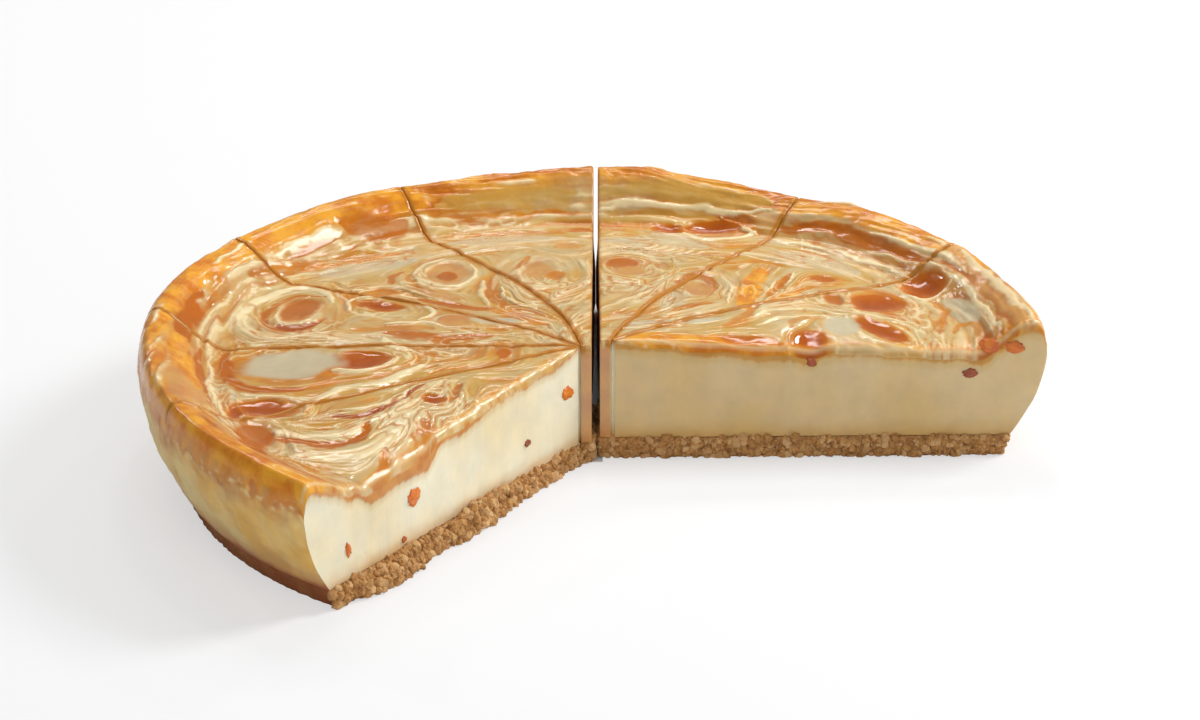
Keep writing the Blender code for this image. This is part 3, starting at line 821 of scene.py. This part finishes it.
def meshFromGrid(name, places, faces, ring, attributes, material):
    placed = places + np.array(cakeAxis)
    tris = placed[faces]
    volume = np.einsum("ij,ij->i", tris[:, 0], np.cross(tris[:, 1], tris[:, 2])).sum()
    volume += np.einsum("ij,ij->i", tris[:, 0], np.cross(tris[:, 2], tris[:, 3])).sum()
    rows = faces.tolist()
    last = ring.tolist()
    if volume < 0:
        rows = faces[:, ::-1].tolist()
        last = ring[::-1].tolist()
    mesh = bpy.data.meshes.new(name)
    mesh.from_pydata(placed.tolist(), [], rows + [last])
    keepMarks(mesh, attributes)
    mesh.materials.append(material)
    mesh.shade_smooth()
    mesh.set_sharp_from_angle(angle=math.radians(62))
    return linked(name, mesh)


# Materials
def fromScreen(red, green, blue):
    # A colour as seen on screen, 0 to 255, turned to linear
    def one(value):
        value /= 255
        return value / 12.92 if value <= 0.04045 else ((value + 0.055) / 1.055) ** 2.4
    return (one(red), one(green), one(blue), 1.0)


class AnyTree:
    # Adds nodes to a tree and sets or links their inputs
    def put(self, socket, value):
        if isinstance(value, bpy.types.NodeSocket):
            self.tree.links.new(value, socket)
        else:
            socket.default_value = value

    def add(self, kind, inputs=None, **settings):
        node = self.tree.nodes.new(kind)
        for name, value in settings.items():
            setattr(node, name, value)
        for name, value in (inputs or {}).items():
            self.put(node.inputs[name], value)
        return node


class Nodes(AnyTree):
    # Short hand for building one material's tree
    def __init__(self, name):
        self.material = bpy.data.materials.new(name)
        self.material.use_nodes = True
        self.tree = self.material.node_tree
        self.shader = self.tree.nodes["Principled BSDF"]

    def attribute(self, name):
        return self.add("ShaderNodeAttribute", attribute_name=name).outputs["Fac"]

    def place(self, stretch=(1, 1, 1)):
        own = self.add("ShaderNodeTexCoord").outputs["Object"]
        return self.add("ShaderNodeMapping", {"Vector": own, "Scale": stretch}).outputs["Vector"]

    def noise(self, scale, detail=2.0, stretch=(1, 1, 1), roughness=0.5):
        made = self.add("ShaderNodeTexNoise", {"Vector": self.place(stretch), "Scale": scale,
                                               "Detail": detail, "Roughness": roughness})
        return made.outputs["Fac"]

    def math(self, operation, *values):
        node = self.add("ShaderNodeMath", operation=operation)
        for socket, value in zip(node.inputs, values):
            self.put(socket, value)
        return node.outputs["Value"]

    def remap(self, value, low, high, first=0.0, last=1.0):
        node = self.add("ShaderNodeMapRange", {"Value": value, "From Min": low, "From Max": high,
                                               "To Min": first, "To Max": last})
        return node.outputs["Result"]

    def mix(self, share, a, b):
        node = self.tree.nodes.new("ShaderNodeMix")
        node.data_type = "RGBA"
        self.put(node.inputs[0], share)
        self.put(node.inputs[6], a)
        self.put(node.inputs[7], b)
        return node.outputs[2]

    def addScaled(self, before, colour, share):
        node = self.add("ShaderNodeVectorMath", operation="MULTIPLY_ADD")
        self.put(node.inputs[0], colour)
        self.put(node.inputs[1], share)
        self.put(node.inputs[2], before)
        return node.outputs["Vector"]

    def set(self, **values):
        for name, value in values.items():
            self.put(self.shader.inputs[name.replace("_", " ")], value)


fillingLooks = {
    "bare": fromScreen(206, 168, 102),
    "bareCool": fromScreen(204, 180, 130),
    "cutFace": fromScreen(238, 230, 202),
    "cutWarm": fromScreen(232, 214, 170),
    "wall": fromScreen(242, 216, 148),
    "wallWarm": fromScreen(234, 186, 98),
    "cream": fromScreen(238, 218, 170),
    "pale": fromScreen(200, 188, 156),
    "tan": fromScreen(206, 152, 82),
    "olive": fromScreen(200, 156, 72),
    "amber": fromScreen(206, 130, 28),
    "golden": fromScreen(236, 166, 46),
    "caramel": fromScreen(186, 98, 10),
    "seam": fromScreen(186, 120, 34),
    "deep": fromScreen(160, 66, 2),
    "brown": fromScreen(196, 128, 62),
    "burnt": fromScreen(172, 80, 32),
    "toasted": {  # what some of them turn to in patches
        "golden": fromScreen(210, 120, 24),
        "amber": fromScreen(190, 108, 22),
        "brown": fromScreen(206, 148, 84),
        "tan": fromScreen(198, 134, 76),
    },
}


def fillingMaterial():
    looks = fillingLooks
    nodes = Nodes("baked_filling")
    cut, wall = nodes.attribute("cut"), nodes.attribute("wall")
    topTone = nodes.mix(nodes.remap(nodes.noise(60, 3), 0.4, 0.6), looks["bare"], looks["bareCool"])
    streaks = nodes.noise(260, 2, (1, 1, 0.06))
    cutTone = nodes.mix(nodes.remap(nodes.math("ADD", nodes.math("MULTIPLY", nodes.noise(35, 3), 0.85),
                                               nodes.math("MULTIPLY", streaks, 0.15)), 0.42, 0.66),
                        looks["cutFace"], looks["cutWarm"])
    wallTone = nodes.mix(nodes.remap(nodes.noise(45, 4), 0.40, 0.62), looks["wall"], looks["wallWarm"])
    ground = nodes.mix(wall, nodes.mix(cut, topTone, cutTone), wallTone)
    node = nodes.add("ShaderNodeVectorMath", operation="MULTIPLY")
    nodes.put(node.inputs[0], ground)
    nodes.put(node.inputs[1], nodes.attribute("bare"))
    colour = node.outputs["Vector"]
    toasted = nodes.remap(nodes.noise(110, 4, roughness=0.6), 0.42, 0.62)
    for kind in [*kinds, "brown", "burnt"]:
        tone = looks[kind][:3]
        if kind in looks["toasted"]:
            tone = nodes.mix(toasted, looks[kind], looks["toasted"][kind])
        colour = nodes.addScaled(colour, tone, nodes.attribute(kind))
    tint = nodes.remap(nodes.noise(140, 4), 0.3, 0.7, 0.93, 1.06)
    shaded = nodes.add("ShaderNodeVectorMath", operation="MULTIPLY")
    nodes.put(shaded.inputs[0], colour)
    nodes.put(shaded.inputs[1], tint)
    sauce = nodes.math("ADD", nodes.attribute("deep"), nodes.attribute("caramel"))
    topGloss = nodes.remap(nodes.noise(90, 3), 0.35, 0.65, 0.11, 0.25)
    topGloss = nodes.math("SUBTRACT", topGloss, nodes.math("MULTIPLY", sauce, 0.07))
    dry = nodes.math("MAXIMUM", cut, wall)
    wallGloss = nodes.remap(nodes.noise(70, 3), 0.35, 0.65, 0.34, 0.5)
    wallGloss = nodes.math("SUBTRACT", wallGloss, nodes.math("MULTIPLY", nodes.attribute("golden"), 0.16))
    topShare = nodes.math("MULTIPLY", topGloss, nodes.math("SUBTRACT", 1.0, dry))
    gloss = nodes.math("ADD", topShare, nodes.math("MULTIPLY", wallGloss, dry))
    nodes.set(Base_Color=shaded.outputs["Vector"], Roughness=gloss,
              Subsurface_Weight=0.15, Subsurface_Scale=0.002, Specular_IOR_Level=0.3)
    nodes.shader.inputs["Subsurface Radius"].default_value = (1.0, 0.75, 0.4)
    grain = nodes.math("MULTIPLY", nodes.noise(900, 2, (1, 1, 0.15)), cut)
    fineGrain = nodes.math("MULTIPLY", nodes.noise(500, 2), 0.5)
    bump = nodes.add("ShaderNodeBump", {"Strength": 0.12, "Distance": 0.0003,
                                        "Height": nodes.math("ADD", grain, fineGrain)})
    nodes.set(Normal=bump.outputs["Normal"])
    return nodes.material


biscuitLooks = {
    "light": fromScreen(210, 160, 96),
    "mid": fromScreen(184, 132, 74),
    "crumb": fromScreen(226, 186, 132),
    "dark": fromScreen(136, 88, 44),
    "burnt": fromScreen(146, 76, 34),
}


def biscuitMaterial():
    looks = biscuitLooks
    nodes = Nodes("biscuit_crumb")
    speck = nodes.noise(700, 3, roughness=0.7)
    patch = nodes.noise(150, 3)
    tone = nodes.mix(nodes.remap(speck, 0.38, 0.62), looks["dark"], looks["light"])
    tone = nodes.mix(nodes.remap(patch, 0.35, 0.65, 0.15, 0.7), tone, looks["mid"])
    edge = nodes.remap(nodes.noise(130, 4), 0.35, 0.65, 0.55, 0.9)
    tone = nodes.mix(nodes.math("MULTIPLY", nodes.attribute("burnt"), edge), tone, looks["burnt"])
    tone = nodes.mix(nodes.remap(nodes.attribute("tone"), 0.6, 1.0, 0.0, 0.8), tone, looks["crumb"])
    nodes.set(Base_Color=tone, Roughness=nodes.remap(speck, 0.3, 0.7, 0.75, 0.95),
              Subsurface_Weight=0.05, Subsurface_Scale=0.001)
    bump = nodes.add("ShaderNodeBump", {"Strength": 0.5, "Distance": 0.0006,
                                        "Height": nodes.noise(1400, 3)})
    nodes.set(Normal=bump.outputs["Normal"])
    return nodes.material


filling = fillingMaterial()
biscuit = biscuitMaterial()

for half, cuts in cake["cuts"].items():
    for number, (first, second) in enumerate(zip(cuts, cuts[1:]), start=1):
        places, faces, ring, paint, marks = sliceSkin(half, first, second)
        colours = finishWalls(places, marks, half, first, paint)
        attributes = {**colours, **{name: marks[name] for name in ("cut", "wall", "bare")}}
        piece = meshFromGrid(f"slice_{half}_{number}", places, faces, ring, attributes, filling)
        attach(piece, "root")
        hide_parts(f"filling_{half}_{number}")
        print("slice", half, number, len(faces) * 2 + len(ring), "triangles")


# The biscuit base under each slice
base = {
    "faceSteps": 110,
    "arcSteps": 60,
    "levels": [0, 0.08, 0.22, 0.38, 0.54, 0.70, 0.85, 0.95, 1.0],
    "rough": 0.9,  # how deep its sides are broken, in mm
    # How far crumbs stand out of the face that shows, and how high they reach, by distance in mm
    "outLeft": {0: 0.3, 20: 0.8, 42: 2.2, 54: 3.4, 62: 3.4, 76: 2.2, 88: 4.6, 100: 4.8, 105: 3.2, 113: 0.6},
    "highLeft": {0: 4.2, 18: 4.3, 30: 6.2, 44: 7.2, 54: 7.6, 62: 5.9, 71: 4.4, 83: 4.2, 100: 4.8, 115: 6.0},
    "outRight": {0: 0.2, 30: 0.6, 60: 0.4, 90: 0.8, 118: 0.3},
}


def biscuitSkin(half, first, second):
    faceShares = np.linspace(0, 1, base["faceSteps"] + 1)
    arcShares = np.linspace(0, 1, base["arcSteps"] + 1)[1:-1]
    tipShares = np.linspace(0, 1, 6)[1:-1]
    across = np.concatenate([0 * faceShares, arcShares, 1 + 0 * faceShares, tipShares[::-1]])
    along = np.concatenate([faceShares, 1 + 0 * arcShares, faceShares[::-1], 0 * tipShares])
    faceCount = len(faceShares)
    kind = np.concatenate([np.full(faceCount, 1), np.full(len(arcShares), 2), np.full(faceCount, 3),
                           np.full(len(tipShares), 4)])
    top = cake["biscuitTop"] - cake["layerGap"] / 2
    shown = second == cake["cuts"][half][-1]
    baseTop = cake["biscuitTop"] / mm
    rings = []
    for level in base["levels"]:
        plan = wedgeCorners(half, first, second, cake["biscuitRadius"] + cake["biscuitFlare"] * level)
        x, y = planPlaces(plan, across, along)
        z = np.full(x.shape, top * level)
        # Outward in plan, from the ring's own direction
        runX, runY = np.roll(x, -1) - np.roll(x, 1), np.roll(y, -1) - np.roll(y, 1)
        length = np.hypot(runX, runY) + 1e-9
        turn = 1 if half == "right" else -1
        outX, outY = -turn * runY / length, turn * runX / length
        walked = np.concatenate([[0], np.cumsum(np.hypot(np.diff(x), np.diff(y)))]) / mm
        rough = layeredNoise(walked / 2.6, z / mm / 2.2 + 7 * kind, 81, 3)
        push = -base["rough"] * (0.35 + 0.45 * rough) * np.minimum(1, along * 8)
        if shown:
            reach = along * (cake["biscuitRadius"] / mm)
            out = throughMarks(base["outLeft" if half == "left" else "outRight"], reach)
            high = throughMarks(base["highLeft"], reach) if half == "left" else np.full(x.shape, baseTop)
            bulge = math.sin(math.pi * min(1.0, 0.22 + 0.78 * level)) ** 0.5 if level < 1 else 0.0
            face = kind == 3
            push = np.where(face, out * bulge * (1 + 0.35 * rough) + 0.35 * rough, push)
            lifted = np.where(face & (level > 0) & (level < 1), (high - baseTop) * mm * level, 0)
            z = np.maximum(z + lifted, 0)
        ripple = 0.25 * softNoise(walked / 1.7, 9 * level + 0 * x, 85)
        z = z + np.where((level > 0) & (level < 1), ripple, 0) * mm
        rings.append(np.stack([x + outX * push * mm, y + outY * push * mm, np.maximum(z, 0)], axis=1))
    places = np.concatenate(rings)
    count = len(across)
    grid = np.arange(len(places)).reshape(len(rings), count)
    closed = np.hstack([grid, grid[:, :1]])
    a, b = closed[:-1, :-1].ravel(), closed[:-1, 1:].ravel()
    c, d = closed[1:, 1:].ravel(), closed[1:, :-1].ravel()
    faces = np.stack([a, b, c, d], axis=1).tolist()
    caps = [grid[0, ::-1].tolist(), grid[-1].tolist()]
    if half == "left":
        faces = [face[::-1] for face in faces]
        caps = [cap[::-1] for cap in caps]
    onSide = np.tile(kind == 2, len(rings)).astype(float)
    onFace = np.tile((kind == 3) & shown, len(rings)) | np.tile(kind == 4, len(rings))
    if first == 0:
        onFace |= np.tile((kind == 1) & (along < 0.25), len(rings))
    return places, faces + caps, {"burnt": onSide, "crumbly": onFace.astype(float)}


def meshPiece(name, places, faces, attributes, material):
    mesh = bpy.data.meshes.new(name)
    mesh.from_pydata((places + np.array(cakeAxis)).tolist(), [], faces)
    keepMarks(mesh, attributes)
    bm = bmesh.new()
    bm.from_mesh(mesh)
    bmesh.ops.recalc_face_normals(bm, faces=bm.faces)
    bm.to_mesh(mesh)
    bm.free()
    mesh.materials.append(material)
    mesh.shade_smooth()
    return linked(name, mesh)


bases = []
for half, cuts in cake["cuts"].items():
    for number, (first, second) in enumerate(zip(cuts, cuts[1:]), start=1):
        places, faces, attributes = biscuitSkin(half, first, second)
        piece = meshPiece(f"base_{half}_{number}", places, faces, attributes, biscuit)
        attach(piece, "root")
        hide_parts(f"biscuit_{half}_{number}")
        bases.append(piece)
print("biscuit bases made:", len(bases))


# Node trees that scatter crumbs and set fruit in the faces
class Tree(AnyTree):
    def __init__(self, name):
        self.tree = bpy.data.node_groups.new(name, "GeometryNodeTree")
        self.inputs = self.add("NodeGroupInput")
        self.outputs = self.add("NodeGroupOutput")

    def input(self, name, kind, value=None):
        socket = self.tree.interface.new_socket(name, in_out="INPUT", socket_type=kind)
        if value is not None:
            socket.default_value = value
        return self.inputs.outputs[name]

    def output(self, name, kind, value):
        self.tree.interface.new_socket(name, in_out="OUTPUT", socket_type=kind)
        self.put(self.outputs.inputs[name], value)

    def named(self, name, kind="FLOAT"):
        node = self.add("GeometryNodeInputNamedAttribute", {"Name": name}, data_type=kind)
        return next(socket for socket in node.outputs if socket.enabled and socket.name == "Attribute")

    def random(self, kind, low, high, seed):
        node = self.add("FunctionNodeRandomValue", data_type=kind)
        shownInputs = {socket.name: socket for socket in node.inputs if socket.enabled}
        self.put(shownInputs["Min"], low)
        self.put(shownInputs["Max"], high)
        self.put(shownInputs["Seed"], seed)
        return next(socket for socket in node.outputs if socket.enabled)

    def lump(self, subdivisions, roughness, scale, seed):
        # A small uneven lump, one unit in radius
        ball = self.add("GeometryNodeMeshIcoSphere", {"Radius": 1.0, "Subdivisions": subdivisions})
        noise = self.add("ShaderNodeTexNoise", {"Scale": scale, "Detail": 1.0, "W": seed},
                         noise_dimensions="4D")
        centred = self.add("ShaderNodeVectorMath", operation="SUBTRACT")
        self.put(centred.inputs[0], noise.outputs["Color"])
        self.put(centred.inputs[1], (0.5, 0.5, 0.5))
        grown = self.add("ShaderNodeVectorMath", operation="SCALE")
        self.put(grown.inputs[0], centred.outputs["Vector"])
        self.put(grown.inputs["Scale"], roughness)
        moved = self.add("GeometryNodeSetPosition",
                         {"Geometry": ball.outputs["Mesh"], "Offset": grown.outputs["Vector"]})
        return moved.outputs["Geometry"]


def crumbTree():
    tree = Tree("crumbs on a face")
    surface = tree.input("Surface", "NodeSocketGeometry")
    density = tree.input("Density", "NodeSocketFloat", 4.0e5)
    smallest = tree.input("Smallest", "NodeSocketFloat", 0.4 * mm)
    largest = tree.input("Largest", "NodeSocketFloat", 1.2 * mm)
    lumpiness = tree.input("Lumpiness", "NodeSocketFloat", 0.9)
    seed = tree.input("Seed", "NodeSocketInt", 3)
    material = tree.input("Material", "NodeSocketMaterial")
    scatter = tree.add("GeometryNodeDistributePointsOnFaces",
                       {"Mesh": surface, "Density": density, "Seed": seed,
                        "Selection": tree.named("crumbly")})
    shape = tree.lump(2, lumpiness, 1.3, 2.0)
    size = tree.random("FLOAT", 0.0, 1.0, 5)
    curve = tree.add("ShaderNodeMath", operation="POWER")
    tree.put(curve.inputs[0], size)
    tree.put(curve.inputs[1], 2.2)
    scaled = tree.add("ShaderNodeMapRange",
                      {"Value": curve.outputs["Value"], "To Min": smallest, "To Max": largest})
    uneven = tree.random("FLOAT_VECTOR", (0.7, 0.7, 0.7), (1.2, 1.2, 1.2), 6)
    sizes = tree.add("ShaderNodeVectorMath", operation="SCALE")
    tree.put(sizes.inputs[0], uneven)
    tree.put(sizes.inputs["Scale"], scaled.outputs["Result"])
    turns = tree.random("FLOAT_VECTOR", (0.0, 0.0, 0.0), (6.28, 6.28, 6.28), 7)
    placed = tree.add("GeometryNodeInstanceOnPoints",
                      {"Points": scatter.outputs["Points"], "Instance": shape,
                       "Rotation": turns, "Scale": sizes.outputs["Vector"]})
    tone = tree.add("GeometryNodeStoreNamedAttribute",
                    {"Geometry": placed.outputs["Instances"], "Name": "tone"},
                    domain="INSTANCE", data_type="FLOAT")
    tree.put(next(socket for socket in tone.inputs if socket.enabled and socket.name == "Value"),
             tree.random("FLOAT", 0.0, 1.0, 8))
    real = tree.add("GeometryNodeRealizeInstances", {"Geometry": tone.outputs["Geometry"]})
    # Nothing goes below the floor
    position = tree.add("GeometryNodeInputPosition").outputs["Position"]
    place = tree.add("ShaderNodeSeparateXYZ", {"Vector": position})
    above = tree.add("ShaderNodeMath", operation="MAXIMUM")
    tree.put(above.inputs[0], place.outputs["Z"])
    tree.put(above.inputs[1], 0.0)
    kept = tree.add("ShaderNodeCombineXYZ",
                    {"X": place.outputs["X"], "Y": place.outputs["Y"], "Z": above.outputs["Value"]})
    raised = tree.add("GeometryNodeSetPosition",
                      {"Geometry": real.outputs["Geometry"], "Position": kept.outputs["Vector"]})
    dressed = tree.add("GeometryNodeSetMaterial",
                       {"Geometry": raised.outputs["Geometry"], "Material": material})
    tree.output("Crumbs", "NodeSocketGeometry", dressed.outputs["Geometry"])
    return tree.tree


def fruitTree():
    tree = Tree("fruit in a face")
    marks = tree.input("Places", "NodeSocketGeometry")
    lumpiness = tree.input("Lumpiness", "NodeSocketFloat", 0.7)
    material = tree.input("Material", "NodeSocketMaterial")
    points = tree.add("GeometryNodeMeshToPoints", {"Mesh": marks})
    shape = tree.lump(4, lumpiness, 1.5, 4.5)
    placed = tree.add("GeometryNodeInstanceOnPoints",
                      {"Points": points.outputs["Points"], "Instance": shape,
                       "Rotation": tree.named("turn", "FLOAT_VECTOR"),
                       "Scale": tree.named("size", "FLOAT_VECTOR")})
    real = tree.add("GeometryNodeRealizeInstances", {"Geometry": placed.outputs["Instances"]})
    smooth = tree.add("GeometryNodeSetShadeSmooth", {"Geometry": real.outputs["Geometry"]})
    dressed = tree.add("GeometryNodeSetMaterial",
                       {"Geometry": smooth.outputs["Geometry"], "Material": material})
    tree.output("Fruit", "NodeSocketGeometry", dressed.outputs["Geometry"])
    return tree.tree


def grow(name, mesh, group, values):
    # Runs a tree on a mesh and keeps the result as a plain mesh
    helper = linked(name, mesh)
    modifier = helper.modifiers.new("tree", "NODES")
    modifier.node_group = group
    for item in group.interface.items_tree:
        if item.in_out == "INPUT" and item.name in values:
            modifier[item.identifier] = values[item.name]
    bpy.context.view_layer.update()
    evaluated = helper.evaluated_get(bpy.context.evaluated_depsgraph_get())
    grown = bpy.data.meshes.new_from_object(evaluated)
    helper.modifiers.remove(modifier)
    helper.data = grown
    grown.name = name
    return helper


crumbs = {"Density": 1.12e6, "Smallest": 0.35 * mm, "Largest": 1.7 * mm, "Lumpiness": 1.1, "Seed": 3}


def makeCrumbs():
    joined = bmesh.new()
    for piece in bases:
        joined.from_mesh(piece.data)
    layer = joined.verts.layers.float["crumbly"]
    spare = [face for face in joined.faces
             if len(face.verts) > 4 or min(vert[layer] for vert in face.verts) < 0.5]
    bmesh.ops.delete(joined, geom=spare, context="FACES")
    mesh = bpy.data.meshes.new("crumbs")
    joined.to_mesh(mesh)
    joined.free()
    piece = grow("crumbs", mesh, crumbTree(), {**crumbs, "Material": biscuit})
    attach(piece, "root")
    print("crumbs:", len(piece.data.polygons), "triangles")


fruit = {
    # half, distance along the face, height, half length, half height, turn in degrees, all in mm, then tone
    "pieces": [
        ("left", 7.0, 24.2, 3.0, 1.9, -14, 0.25),
        ("left", 26.6, 15.8, 1.4, 1.1, 0, 1.0),
        ("left", 80.0, 19.3, 2.9, 2.6, 20, 0.2),
        ("left", 109.0, 14.8, 1.2, 2.2, 10, 0.35),
        ("left", 84.5, 8.4, 1.1, 0.9, 0, 0.6),
        ("right", 57.7, 29.3, 1.7, 1.3, 25, 0.75),
        ("right", 103.5, 25.5, 2.2, 1.4, -5, 0.8),
        ("right", 116.0, 33.5, 3.0, 1.8, 8, 0.4),
        ("right", 108.8, 34.0, 2.8, 2.2, 20, 0.4),
    ],
    "thick": 0.6,  # half thickness, in mm
    "lumpiness": 1.2,
}


def facePlace(half, distance, height):
    angle = math.radians(cake["cuts"][half][-1])
    start = cake["meeting"][half]
    x = start[0] + math.sin(angle) * distance
    y = start[1] + math.cos(angle) * distance
    return Vector((x, y, height)), angle


def makeFruit():
    mesh = bpy.data.meshes.new("fruit")
    places, turns, sizes, tones = [], [], [], []
    for half, distance, height, long, high, turn, tone in fruit["pieces"]:
        place, angle = facePlace(half, distance * mm, height * mm)
        places.append(place + cakeAxis)
        turns += [0.0, math.radians(turn), math.pi / 2 - angle]
        sizes += [long * mm, fruit["thick"] * mm, high * mm]
        tones.append(tone)
    mesh.from_pydata(places, [], [])
    for name, values, kind in (("turn", turns, "FLOAT_VECTOR"), ("size", sizes, "FLOAT_VECTOR")):
        mesh.attributes.new(name, kind, "POINT").data.foreach_set("vector", values)
    mesh.attributes.new("tone", "FLOAT", "POINT").data.foreach_set("value", tones)
    piece = grow("fruit", mesh, fruitTree(), {"Lumpiness": fruit["lumpiness"], "Material": fruitMaterial()})
    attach(piece, "root")
    print("fruit:", len(piece.data.polygons), "triangles")


def fruitMaterial():
    nodes = Nodes("fruit_piece")
    tone = nodes.attribute("tone")
    blotch = nodes.remap(nodes.noise(300, 2), 0.35, 0.65)
    warm = nodes.mix(blotch, fromScreen(226, 128, 28), fromScreen(206, 98, 24))
    dark = nodes.mix(blotch, fromScreen(168, 84, 42), fromScreen(140, 58, 34))
    nodes.set(Base_Color=nodes.mix(nodes.remap(tone, 0.3, 0.8), warm, dark),
              Roughness=nodes.remap(nodes.noise(200, 2), 0.3, 0.7, 0.3, 0.45),
              Subsurface_Weight=0.15, Subsurface_Scale=0.0015)
    return nodes.material


makeCrumbs()
makeFruit()


# Stage, lights and camera
stage = {
    "floorColour": (0.86, 0.86, 0.87, 1.0),
    "floorSize": 6.0,
    "floorHeight": -0.1 * mm,
    "worldStrength": 0.27,
}


def makeStage():
    mesh = bpy.data.meshes.new("floor")
    size = stage["floorSize"]
    low = stage["floorHeight"]
    corners = [(-size, -size, low), (size, -size, low), (size, size, low), (-size, size, low)]
    mesh.from_pydata(corners, [], [(0, 1, 2, 3)])
    floor = linked("floor", mesh)
    nodes = Nodes("floor_white")
    nodes.set(Base_Color=stage["floorColour"], Roughness=0.9)
    seen = nodes.add("ShaderNodeLightPath").outputs["Is Camera Ray"]
    white = nodes.add("ShaderNodeEmission", {"Color": (1, 1, 1, 1), "Strength": 1.0})
    blend = nodes.add("ShaderNodeMixShader")
    own = nodes.add("ShaderNodeSeparateXYZ", {"Vector": nodes.add("ShaderNodeTexCoord").outputs["Object"]})
    aside = nodes.math("ABSOLUTE", nodes.math("SUBTRACT", own.outputs["X"], cakeAxis.x))
    halfWay = cakeAxis.y + 0.5 * cake["tinRadius"]
    behind = nodes.math("ABSOLUTE", nodes.math("SUBTRACT", own.outputs["Y"], halfWay))
    inGap = nodes.math("MULTIPLY", nodes.math("LESS_THAN", aside, 2 * mm),
                       nodes.math("LESS_THAN", behind, 0.5 * cake["tinRadius"]))
    lit = nodes.math("MULTIPLY", seen, nodes.math("SUBTRACT", 1.0, inGap))
    nodes.put(blend.inputs[0], nodes.math("MULTIPLY", lit, 0.55))
    nodes.tree.links.new(nodes.shader.outputs[0], blend.inputs[1])
    nodes.tree.links.new(white.outputs[0], blend.inputs[2])
    nodes.tree.links.new(blend.outputs[0], nodes.tree.nodes["Material Output"].inputs["Surface"])
    mesh.materials.append(nodes.material)
    world = bpy.data.worlds.new("studio")
    bpy.context.scene.world = world
    world.use_nodes = True
    tree = world.node_tree
    background = tree.nodes["Background"]
    path = tree.nodes.new("ShaderNodeLightPath")
    strength = tree.nodes.new("ShaderNodeMapRange")
    strength.inputs["To Min"].default_value = stage["worldStrength"]
    strength.inputs["To Max"].default_value = 1.0
    tree.links.new(path.outputs["Is Camera Ray"], strength.inputs["Value"])
    tree.links.new(strength.outputs["Result"], background.inputs["Strength"])
    background.inputs["Color"].default_value = (1, 1, 1, 1)


lamps = {
    "key": {"place": (0.85, 0.25, 0.80), "size": (0.4, 0.4), "power": 11.0},
    "back": {"place": (-0.15, 0.85, 0.95), "size": (0.8, 0.12), "power": 3.6},
    "glintLeft": {"place": (-0.75, 0.75, 0.75), "size": (0.07, 0.07), "power": 0.9},
    "glintRight": {"place": (0.45, 0.95, 0.80), "size": (0.06, 0.06), "power": 0.9},
    "glintHigh": {"place": (0.05, 0.55, 1.10), "size": (0.07, 0.07), "power": 0.9},
    "front": {"place": (0.1, -1.2, 0.9), "size": (1.2, 0.8), "power": 5.2},
}


def makeLamps():
    for name, values in lamps.items():
        light = bpy.data.lights.new(name, "AREA")
        light.shape = "RECTANGLE"
        light.size, light.size_y = values["size"]
        light.energy = values["power"]
        obj = linked(name, light)
        obj.location = values["place"]
        aim = Vector((0, 0, 0.02)) - Vector(values["place"])
        obj.rotation_euler = aim.to_track_quat("-Z", "Y").to_euler()


view = {
    "elevation": 24.15,  # of the line from the cake's axis, at its foot, to the camera
    "distance": 1.1175,
    "lens": 116.0,
    "sensor": 36.0,
    "aimUp": 1.505,  # the camera looks this many degrees above the cake's foot
    "aimRight": 0.069,
}


def makeCamera():
    tilt = math.radians(view["elevation"])
    camera = bpy.data.cameras.new("camera")
    camera.lens = view["lens"]
    camera.sensor_width = view["sensor"]
    obj = linked("camera", camera)
    obj.location = cakeAxis + view["distance"] * Vector((0, -math.cos(tilt), math.sin(tilt)))
    looking = math.pi / 2 - tilt + math.radians(view["aimUp"])
    obj.rotation_euler = (looking, 0, -math.radians(view["aimRight"]))
    camera.clip_start = 0.01
    bpy.context.scene.camera = obj


makeStage()
makeLamps()
makeCamera()
bpy.context.scene.view_settings.view_transform = "Standard"
print("stage, lamps and camera set")
